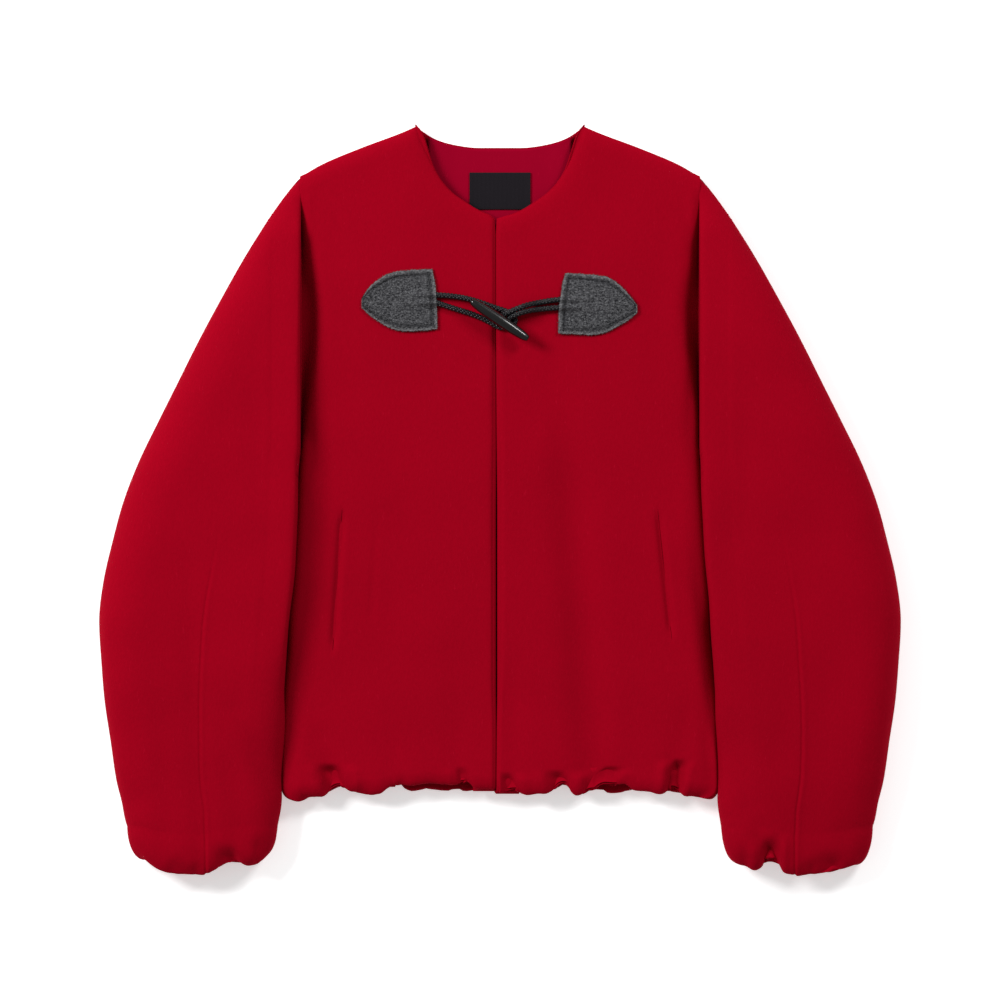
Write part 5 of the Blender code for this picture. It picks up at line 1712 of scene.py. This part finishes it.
def tubes(name, lines, radius, shares, resolution, material):
    """Round threads along these lines, in one mesh. shares are their radii at each point."""
    curve = bpy.data.curves.new(name, "CURVE")
    curve.dimensions = "3D"
    curve.bevel_depth = radius
    curve.bevel_resolution = resolution
    curve.use_fill_caps = True
    for line, share in zip(lines, shares):
        thread = curve.splines.new("POLY")
        thread.points.add(len(line) - 1)
        for point, place, part in zip(thread.points, line, share):
            point.co = (*place, 1)
            point.radius = part
    drawn = bpy.data.objects.new(name, curve)
    bpy.context.scene.collection.objects.link(drawn)
    graph = bpy.context.evaluated_depsgraph_get()
    mesh = bpy.data.meshes.new_from_object(drawn.evaluated_get(graph))
    bpy.data.objects.remove(drawn)
    bpy.data.curves.remove(curve)
    mesh.materials.clear()
    joined = bmesh.new()
    joined.from_mesh(mesh)
    bmesh.ops.remove_doubles(joined, verts=joined.verts, dist=1e-7)
    bmesh.ops.recalc_face_normals(joined, faces=joined.faces)
    joined.to_mesh(mesh)
    joined.free()
    mesh.name = name
    mesh.shade_smooth()
    return place_piece(name, mesh, material)


def cord_line(route, count):
    """Places evenly along a cord's middle, its hidden ends included, and its total length."""
    points = np.array([(x, y, cloth_under(x, y) + over) for x, y, over in route])
    for end, inner in ((0, 1), (-1, -2)):
        way = points[end] - points[inner]
        tip = points[end] + way / np.linalg.norm(way) * CORD_HIDDEN - [0, 0, CORD_SUNK]
        points = np.vstack([tip[None], points] if end == 0 else [points, tip[None]])
    lengths = np.concatenate([[0], np.cumsum(np.linalg.norm(np.diff(points, axis=0), axis=1))])
    at = np.linspace(0, lengths[-1], count)
    tables = [[(s, p[i]) for s, p in zip(lengths, points)] for i in range(3)]
    return np.stack([along(table, at) for table in tables], axis=1), lengths[-1]


def turning_frames(line):
    """Two directions square to the line at each place, carried along it without twist."""
    ways = np.gradient(line, axis=0)
    ways /= np.linalg.norm(ways, axis=1, keepdims=True)
    side = np.cross(ways[0], [0, 0, 1])
    sides = []
    for way in ways:
        side = side - way * np.dot(side, way)
        side = side / np.linalg.norm(side)
        sides.append(side)
    sides = np.array(sides)
    return sides, np.cross(ways, sides)


def make_cord(name, node, route, material):
    """A round braid: strands wind both ways round the middle and pass over and under."""
    _, length = cord_line(route, 2)
    count = round(length / BRAID_STEP)
    line, _ = cord_line(route, count)
    sides, ups = turning_frames(line)
    at = np.linspace(0, length, count)
    crossing = 2 * math.pi * at / BRAID_PITCH * BRAID_STRANDS
    lines, shares = [line], [[CORE_SHARE] * count]
    for way in (1, -1):
        for strand in range(BRAID_STRANDS):
            angle = way * 2 * math.pi * at / BRAID_PITCH + 2 * math.pi * strand / BRAID_STRANDS
            over = BRAID_WEAVE * np.sin(crossing + way * (math.pi / 2) + math.pi * strand * 2)
            out = (CORD / 2 - BRAID_STRAND * 0.8 + over)[:, None]
            turned = np.cos(angle)[:, None] * sides + np.sin(angle)[:, None] * ups
            lines.append(line + out * turned)
            shares.append([1.0] * count)
    made = tubes(name, lines, BRAID_STRAND, shares, 1, material)
    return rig.replaces(made, node)


def make_toggle(material):
    """A horn toggle: a turned profile that tapers to rounded ends, a little bowed."""
    profile = [(share * TOGGLE_LONG, radius) for share, radius in reversed(TOGGLE_PROFILE)]
    at = -np.cos(np.linspace(0, math.pi, TOGGLE_RINGS)) * TOGGLE_LONG / 2
    radii = along(profile, at)
    turned = bmesh.new()
    line = [turned.verts.new((radius, 0, place)) for radius, place in zip(radii, at)]
    edges = [turned.edges.new(pair) for pair in zip(line, line[1:])]
    bmesh.ops.spin(
        turned, geom=line + edges, cent=(0, 0, 0), axis=(0, 0, 1), angle=2 * math.pi,
        steps=TOGGLE_SIDES * 3, use_merge=True,
    )
    bmesh.ops.remove_doubles(turned, verts=turned.verts, dist=1e-6)
    bmesh.ops.recalc_face_normals(turned, faces=turned.faces)
    for vertex in turned.verts:
        share = vertex.co.z / (TOGGLE_LONG / 2)
        vertex.co.x -= TOGGLE_BOW * (share**2 - 0.3)
    x, y = TOGGLE_MIDDLE
    middle_radius = max(radius for _, radius in TOGGLE_PROFILE)
    over = ON_CLOTH + CORD / 2 + TOGGLE_OVER_LOOPS + middle_radius
    place = Matrix.Translation((x, y, cloth_under(x, y) + over))
    turn = Matrix.Rotation(TOGGLE_TURN, 4, "Z") @ Matrix.Rotation(math.pi / 2, 4, "Y")
    bmesh.ops.transform(turned, matrix=place @ turn, verts=turned.verts)
    settle_faces(turned)
    mesh = bpy.data.meshes.new("toggle_horn")
    turned.to_mesh(mesh)
    turned.free()
    mesh.shade_smooth()
    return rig.replaces(place_piece("toggle_horn", mesh, material), "toggle")


def cloth_under(x, y):
    """Height of the fronts at this place, level across the opening between them."""
    side = -1 if x < 0 else 1
    q = np.array([max(abs(x), OPENING_EDGE)])
    return float(front_height(q, np.array([y]), side)[0])


def group(name, inputs, outputs):
    """A node group with these sockets: {name: default value} and the outputs' names and kinds."""
    made = bpy.data.node_groups.new(name, "ShaderNodeTree")
    kinds = {float: "NodeSocketFloat", tuple: "NodeSocketColor"}
    for title, value in inputs.items():
        socket = made.interface.new_socket(title, in_out="INPUT", socket_type=kinds[type(value)])
        socket.default_value = value
    for title, kind in outputs.items():
        made.interface.new_socket(title, in_out="OUTPUT", socket_type=kind)
    return made, made.nodes.new("NodeGroupInput"), made.nodes.new("NodeGroupOutput")


def node(tree, kind, inputs=(), **settings):
    """A node with these settings. An input's value is a number, a colour or another's output."""
    made = tree.nodes.new(kind)
    for name, value in settings.items():
        setattr(made, name, value)
    for name, value in dict(inputs).items():
        socket = made.inputs[name]
        if isinstance(value, bpy.types.NodeSocket):
            tree.links.new(value, socket)
        else:
            socket.default_value = value
    return made


def noise(tree, where, scale, detail=2.0, roughness=0.5, stretch=(1, 1, 1)):
    mapped = node(tree, "ShaderNodeMapping", {"Vector": where, "Scale": stretch})
    return node(tree, "ShaderNodeTexNoise", {
        "Vector": mapped.outputs[0], "Scale": scale, "Detail": detail, "Roughness": roughness,
    }).outputs["Fac"]


def maths(tree, operation, *values):
    made = node(tree, "ShaderNodeMath", operation=operation)
    for socket, value in zip(made.inputs, values):
        if isinstance(value, bpy.types.NodeSocket):
            tree.links.new(value, socket)
        else:
            socket.default_value = value
    return made.outputs[0]


def mixed(tree, share, first, second):
    made = node(tree, "ShaderNodeMix", data_type="RGBA")
    for index, value in ((0, share), (6, first), (7, second)):
        if isinstance(value, bpy.types.NodeSocket):
            tree.links.new(value, made.inputs[index])
        else:
            made.inputs[index].default_value = value
    return made.outputs[2]


def ramp(tree, value, low, high):
    """0 where the value is at most low, 1 where it is at least high."""
    made = node(tree, "ShaderNodeMapRange", {"From Min": low, "From Max": high}, clamp=True)
    tree.links.new(value, made.inputs["Value"])
    return made.outputs["Result"]


def nap_group():
    """Brushed wool: matted fibres that lie mostly one way, slow clouding and stray pale fibres."""
    inputs = {"Colour": (0.3, 0.0, 0.01, 1.0), "Clouding": 0.08, "Fibre contrast": 0.10}
    outputs = {"Colour": "NodeSocketColor", "Height": "NodeSocketFloat",
               "Roughness": "NodeSocketFloat"}
    made, given, out = group("Brushed nap", inputs, outputs)
    where = node(made, "ShaderNodeTexCoord").outputs["Object"]
    clouds = noise(made, where, 9.0, 3.0, 0.55)
    felt = noise(made, where, 520.0, 4.0, 0.62, (1.0, 0.45, 1.0))
    fine = noise(made, where, 1500.0, 3.0, 0.6, (1.0, 0.3, 1.0))
    bent = node(made, "ShaderNodeTexNoise", {"Vector": where, "Scale": 160.0, "Detail": 1.0})
    pushed = node(made, "ShaderNodeVectorMath", operation="SCALE")
    made.links.new(bent.outputs["Color"], pushed.inputs[0])
    pushed.inputs["Scale"].default_value = 0.0035
    moved = node(made, "ShaderNodeVectorMath", operation="ADD")
    made.links.new(where, moved.inputs[0])
    made.links.new(pushed.outputs[0], moved.inputs[1])
    strands = noise(made, moved.outputs[0], 900.0, 2.0, 0.5, (1.0, 0.09, 1.0))
    stray = ramp(made, strands, 0.66, 0.74)
    cloud = maths(made, "MULTIPLY", maths(made, "SUBTRACT", clouds, 0.5), given.outputs["Clouding"])
    grain = maths(made, "MULTIPLY", maths(made, "SUBTRACT", felt, 0.5),
                  given.outputs["Fibre contrast"])
    light = maths(made, "ADD", 1.0, maths(made, "ADD", maths(made, "MULTIPLY", cloud, 2.0),
                                          maths(made, "MULTIPLY", grain, 2.0)))
    toned = node(made, "ShaderNodeVectorMath", operation="SCALE")
    made.links.new(given.outputs["Colour"], toned.inputs[0])
    made.links.new(light, toned.inputs["Scale"])
    pale = mixed(made, maths(made, "MULTIPLY", stray, 0.10), toned.outputs[0],
                 (0.62, 0.01, 0.04, 1.0))
    made.links.new(pale, out.inputs["Colour"])
    height = maths(made, "ADD", maths(made, "MULTIPLY", felt, 0.6),
                   maths(made, "ADD", maths(made, "MULTIPLY", fine, 0.25),
                         maths(made, "MULTIPLY", stray, 0.22)))
    made.links.new(height, out.inputs["Height"])
    rough = maths(made, "ADD", 0.86, maths(made, "MULTIPLY", maths(made, "SUBTRACT", fine, 0.5), 0.2))
    made.links.new(rough, out.inputs["Roughness"])
    return made


def surface(name, roughness, **sockets):
    """A material, its shader and its tree. sockets are the shader's own fixed values."""
    made = bpy.data.materials.new(name)
    made.use_nodes = True
    shader = made.node_tree.nodes["Principled BSDF"]
    shader.inputs["Roughness"].default_value = roughness
    for title, value in sockets.items():
        shader.inputs[title.replace("_", " ")].default_value = value
    return made, shader, made.node_tree


def raised(tree, shader, height, strength, distance):
    bump = node(tree, "ShaderNodeBump", {
        "Strength": strength, "Distance": distance, "Height": height,
    })
    tree.links.new(bump.outputs["Normal"], shader.inputs["Normal"])


def wool_material(name, colour, nap, clouding, contrast, height):
    made, shader, tree = surface(
        name, 0.9, Sheen_Weight=0.08, Sheen_Roughness=0.5, Sheen_Tint=(1.0, 0.01, 0.06, 1.0),
        Specular_IOR_Level=0.02,
    )
    used = node(tree, "ShaderNodeGroup", node_tree=nap)
    used.inputs["Colour"].default_value = (*colour, 1)
    used.inputs["Clouding"].default_value = clouding
    used.inputs["Fibre contrast"].default_value = contrast
    tree.links.new(used.outputs["Colour"], shader.inputs["Base Color"])
    tree.links.new(used.outputs["Roughness"], shader.inputs["Roughness"])
    raised(tree, shader, used.outputs["Height"], 0.55, height)
    return made


def tweed_material():
    """Grey tweed: dark and light yarns twisted together, in short slubs, with painted shade along the pulled-in stitch
    groove.
    """
    made, shader, tree = surface(
        "Grey tweed", 0.95, Sheen_Weight=0.10, Sheen_Roughness=0.4, Specular_IOR_Level=0.05,
    )
    where = node(tree, "ShaderNodeTexCoord").outputs["Object"]
    slubs = noise(tree, where, 400.0, 3.0, 0.75, (1.0, 1.9, 1.0))
    flecks = noise(tree, where, 620.0, 3.0, 0.75)
    cells = node(tree, "ShaderNodeTexVoronoi", {"Vector": where, "Scale": 900.0})
    grey = mixed(tree, ramp(tree, slubs, 0.40, 0.60), (*TWEED_DARK, 1), (*TWEED_MIDDLE, 1))
    spot = maths(tree, "MULTIPLY", ramp(tree, flecks, 0.50, 0.72), 0.60)
    toned = mixed(tree, spot, grey, (*TWEED_PALE, 1))
    rim = node(tree, "ShaderNodeAttribute", attribute_name="rim").outputs["Fac"]
    groove = node(tree, "ShaderNodeAttribute", attribute_name="groove").outputs["Fac"]
    brushed = maths(tree, "MULTIPLY", rim, ramp(tree, flecks, 0.34, 0.62))
    toned = mixed(tree, brushed, toned, (*TWEED_RIM, 1))
    # Painted shade: the tweed turns towards its darkest yarn along the pulled-in stitch groove
    toned = mixed(tree, maths(tree, "MULTIPLY", groove, 0.6), toned, (*TWEED_DARK, 1))
    tree.links.new(toned, shader.inputs["Base Color"])
    yarn = maths(tree, "ADD", maths(tree, "MULTIPLY", slubs, 0.8),
                 maths(tree, "MULTIPLY", cells.outputs["Distance"], -0.4))
    raised(tree, shader, yarn, 0.9, 0.0009)
    return made


def label_material():
    """A plain black woven label: fine ribs across and a satin sheen."""
    made, shader, tree = surface(
        "Black woven label", 0.7, Specular_IOR_Level=0.08, Sheen_Weight=0.02,
    )
    where = node(tree, "ShaderNodeTexCoord").outputs["Object"]
    ribs = node(tree, "ShaderNodeTexWave", {
        "Vector": where, "Scale": 420.0, "Distortion": 0.4, "Detail": 1.0,
    }, bands_direction="Y").outputs["Fac"]
    threads = node(tree, "ShaderNodeTexWave", {
        "Vector": where, "Scale": 260.0, "Distortion": 0.4, "Detail": 1.0,
    }, bands_direction="X").outputs["Fac"]
    weave = maths(tree, "MULTIPLY", ribs, threads)
    toned = mixed(tree, weave, (*LABEL_DARK, 1), (*LABEL_PALE, 1))
    tree.links.new(toned, shader.inputs["Base Color"])
    raised(tree, shader, weave, 0.5, 0.0002)
    return made


def braid_material(name, dark, pale):
    """Waxed braided cord: fine yarns along every strand."""
    made, shader, tree = surface(name, 0.34, Specular_IOR_Level=0.3)
    where = node(tree, "ShaderNodeTexCoord").outputs["Object"]
    yarns = noise(tree, where, 1900.0, 2.0, 0.6)
    toned = mixed(tree, yarns, (*dark, 1), (*pale, 1))
    tree.links.new(toned, shader.inputs["Base Color"])
    raised(tree, shader, yarns, 0.5, 0.0003)
    return made


def horn_material():
    """Dark polished horn, with faint smoky streaks along it and fine scratches."""
    made, shader, tree = surface(
        "Polished dark horn", 0.20, Coat_Weight=0.5, Coat_Roughness=0.08, Specular_IOR_Level=0.25,
    )
    where = node(tree, "ShaderNodeTexCoord").outputs["Object"]
    laid = node(tree, "ShaderNodeMapping", {
        "Vector": where, "Location": (-TOGGLE_MIDDLE[0], -TOGGLE_MIDDLE[1], 0.0),
    })
    turned = node(tree, "ShaderNodeMapping", {
        "Vector": laid.outputs[0], "Rotation": (0.0, 0.0, -TOGGLE_TURN),
    }).outputs[0]
    streaks = noise(tree, turned, 300.0, 3.0, 0.6, (0.08, 1.0, 1.0))
    wear = noise(tree, turned, 900.0, 3.0, 0.6, (0.25, 1.0, 1.0))
    toned = mixed(tree, ramp(tree, streaks, 0.45, 0.75), (*HORN_DARK, 1), (*HORN_PALE, 1))
    tree.links.new(toned, shader.inputs["Base Color"])
    rough = maths(tree, "ADD", 0.18, maths(tree, "MULTIPLY", wear, 0.22))
    tree.links.new(rough, shader.inputs["Roughness"])
    raised(tree, shader, wear, 0.25, 0.00015)
    return made


def thread_material():
    made, shader, tree = surface("Charcoal thread", 0.7)
    where = node(tree, "ShaderNodeTexCoord").outputs["Object"]
    toned = mixed(tree, noise(tree, where, 1500.0), (0.006, 0.006, 0.007, 1), (0.03, 0.03, 0.033, 1))
    tree.links.new(toned, shader.inputs["Base Color"])
    return made


def make_stage():
    """A pale floor under soft studio light, and a camera straight above."""
    floor = bmesh.new()
    bmesh.ops.create_grid(floor, x_segments=1, y_segments=1, size=FLOOR_HALF)
    bmesh.ops.translate(floor, vec=(0, 0, -FLOOR_BELOW), verts=floor.verts)
    mesh = bpy.data.meshes.new("floor")
    floor.to_mesh(mesh)
    floor.free()
    pale, shader, _ = surface("Pale floor", 0.9, Specular_IOR_Level=0.1)
    shader.inputs["Base Color"].default_value = (*FLOOR_COLOUR, 1)
    shader.inputs["Emission Color"].default_value = (1.0, 1.0, 1.0, 1)
    shader.inputs["Emission Strength"].default_value = FLOOR_GLOW
    mesh.materials.append(pale)
    ground = bpy.data.objects.new("floor", mesh)
    bpy.context.scene.collection.objects.link(ground)
    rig.stage(ground)

    world = bpy.data.worlds.new("studio")
    world.use_nodes = True
    backdrop = world.node_tree.nodes["Background"]
    backdrop.inputs["Color"].default_value = (1.0, 1.0, 1.0, 1)
    backdrop.inputs["Strength"].default_value = AMBIENT
    scene = bpy.context.scene
    scene.world = world
    scene.view_settings.view_transform = "Standard"
    for name, place, size, power in LAMPS:
        lamp = bpy.data.lights.new(name, "AREA")
        lamp.shape = "SQUARE"
        lamp.size = size
        lamp.energy = power
        hung = bpy.data.objects.new(name, lamp)
        hung.location = place
        hung.rotation_mode = "QUATERNION"
        hung.rotation_quaternion = Vector(place).to_track_quat("Z", "Y")
        scene.collection.objects.link(hung)

    camera = bpy.data.cameras.new("camera")
    camera.sensor_width = SENSOR
    camera.lens = SENSOR * CAMERA_HEIGHT / PHOTO_WIDE
    seen = bpy.data.objects.new("camera", camera)
    seen.location = (0, PHOTO_WIDE / 2 - PHOTO_MIDDLE_ROW * PIXEL, CAMERA_HEIGHT)
    scene.collection.objects.link(seen)
    scene.camera = seen


def main():
    nap = nap_group()
    wool = wool_material("Red wool", RED_WOOL, nap, 0.05, 0.12, 0.0006)
    lining = wool_material("Crimson facing", CRIMSON, nap, 0.03, 0.05, 0.0002)
    tweed, thread = tweed_material(), thread_material()
    braid = braid_material("Black braid", CORD_DARK, CORD_PALE)
    pieces = [make_back(wool)]
    for side, hand in ((-1, "left"), (1, "right")):
        pieces.append(make_front(side, hand, wool))
        pieces.extend(make_sleeve(side, hand, wool))
        pieces.append(make_pocket_facing(side, hand, wool))
    for piece in pieces:
        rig.slot(piece, "red_wool")
    facing, label = make_neck_facing(lining, label_material())
    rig.slot(facing, "crimson_facing")
    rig.slot(label, "black_label")
    sewn = {}
    for side, hand in ((-1, "left"), (1, "right")):
        patch, fuzz, stitches = make_patch(side, hand, (tweed, thread))
        for piece in (patch, fuzz):
            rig.slot(piece, "grey_tweed")
        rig.slot(stitches, "black_cord")
        sewn[patch.name] = [fuzz, stitches]
        pieces.append(patch)
    for hand, route in (("left", LEFT_LOOP), ("right", RIGHT_LOOP)):
        cord = make_cord(f"cord_loop_{hand}_braid", f"cord_loop_{hand}", route, braid)
        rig.slot(cord, "black_cord")
    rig.slot(make_toggle(horn_material()), "black_horn")
    for piece in [*pieces, facing, label]:
        wide, tall, area, held, under = CUTS[piece.name]
        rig.sheet(
            piece, flat=(wide, tall), held=held, rests_on=under, area=area,
            with_pieces=sewn.get(piece.name, ()),
        )
    make_stage()


main()
with open("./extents.json", "w") as sizes:
    boxes = {"frame": FRAME_BOX, "visual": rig.bounds()}
    json.dump({name: [list(corner) for corner in box] for name, box in boxes.items()}, sizes)
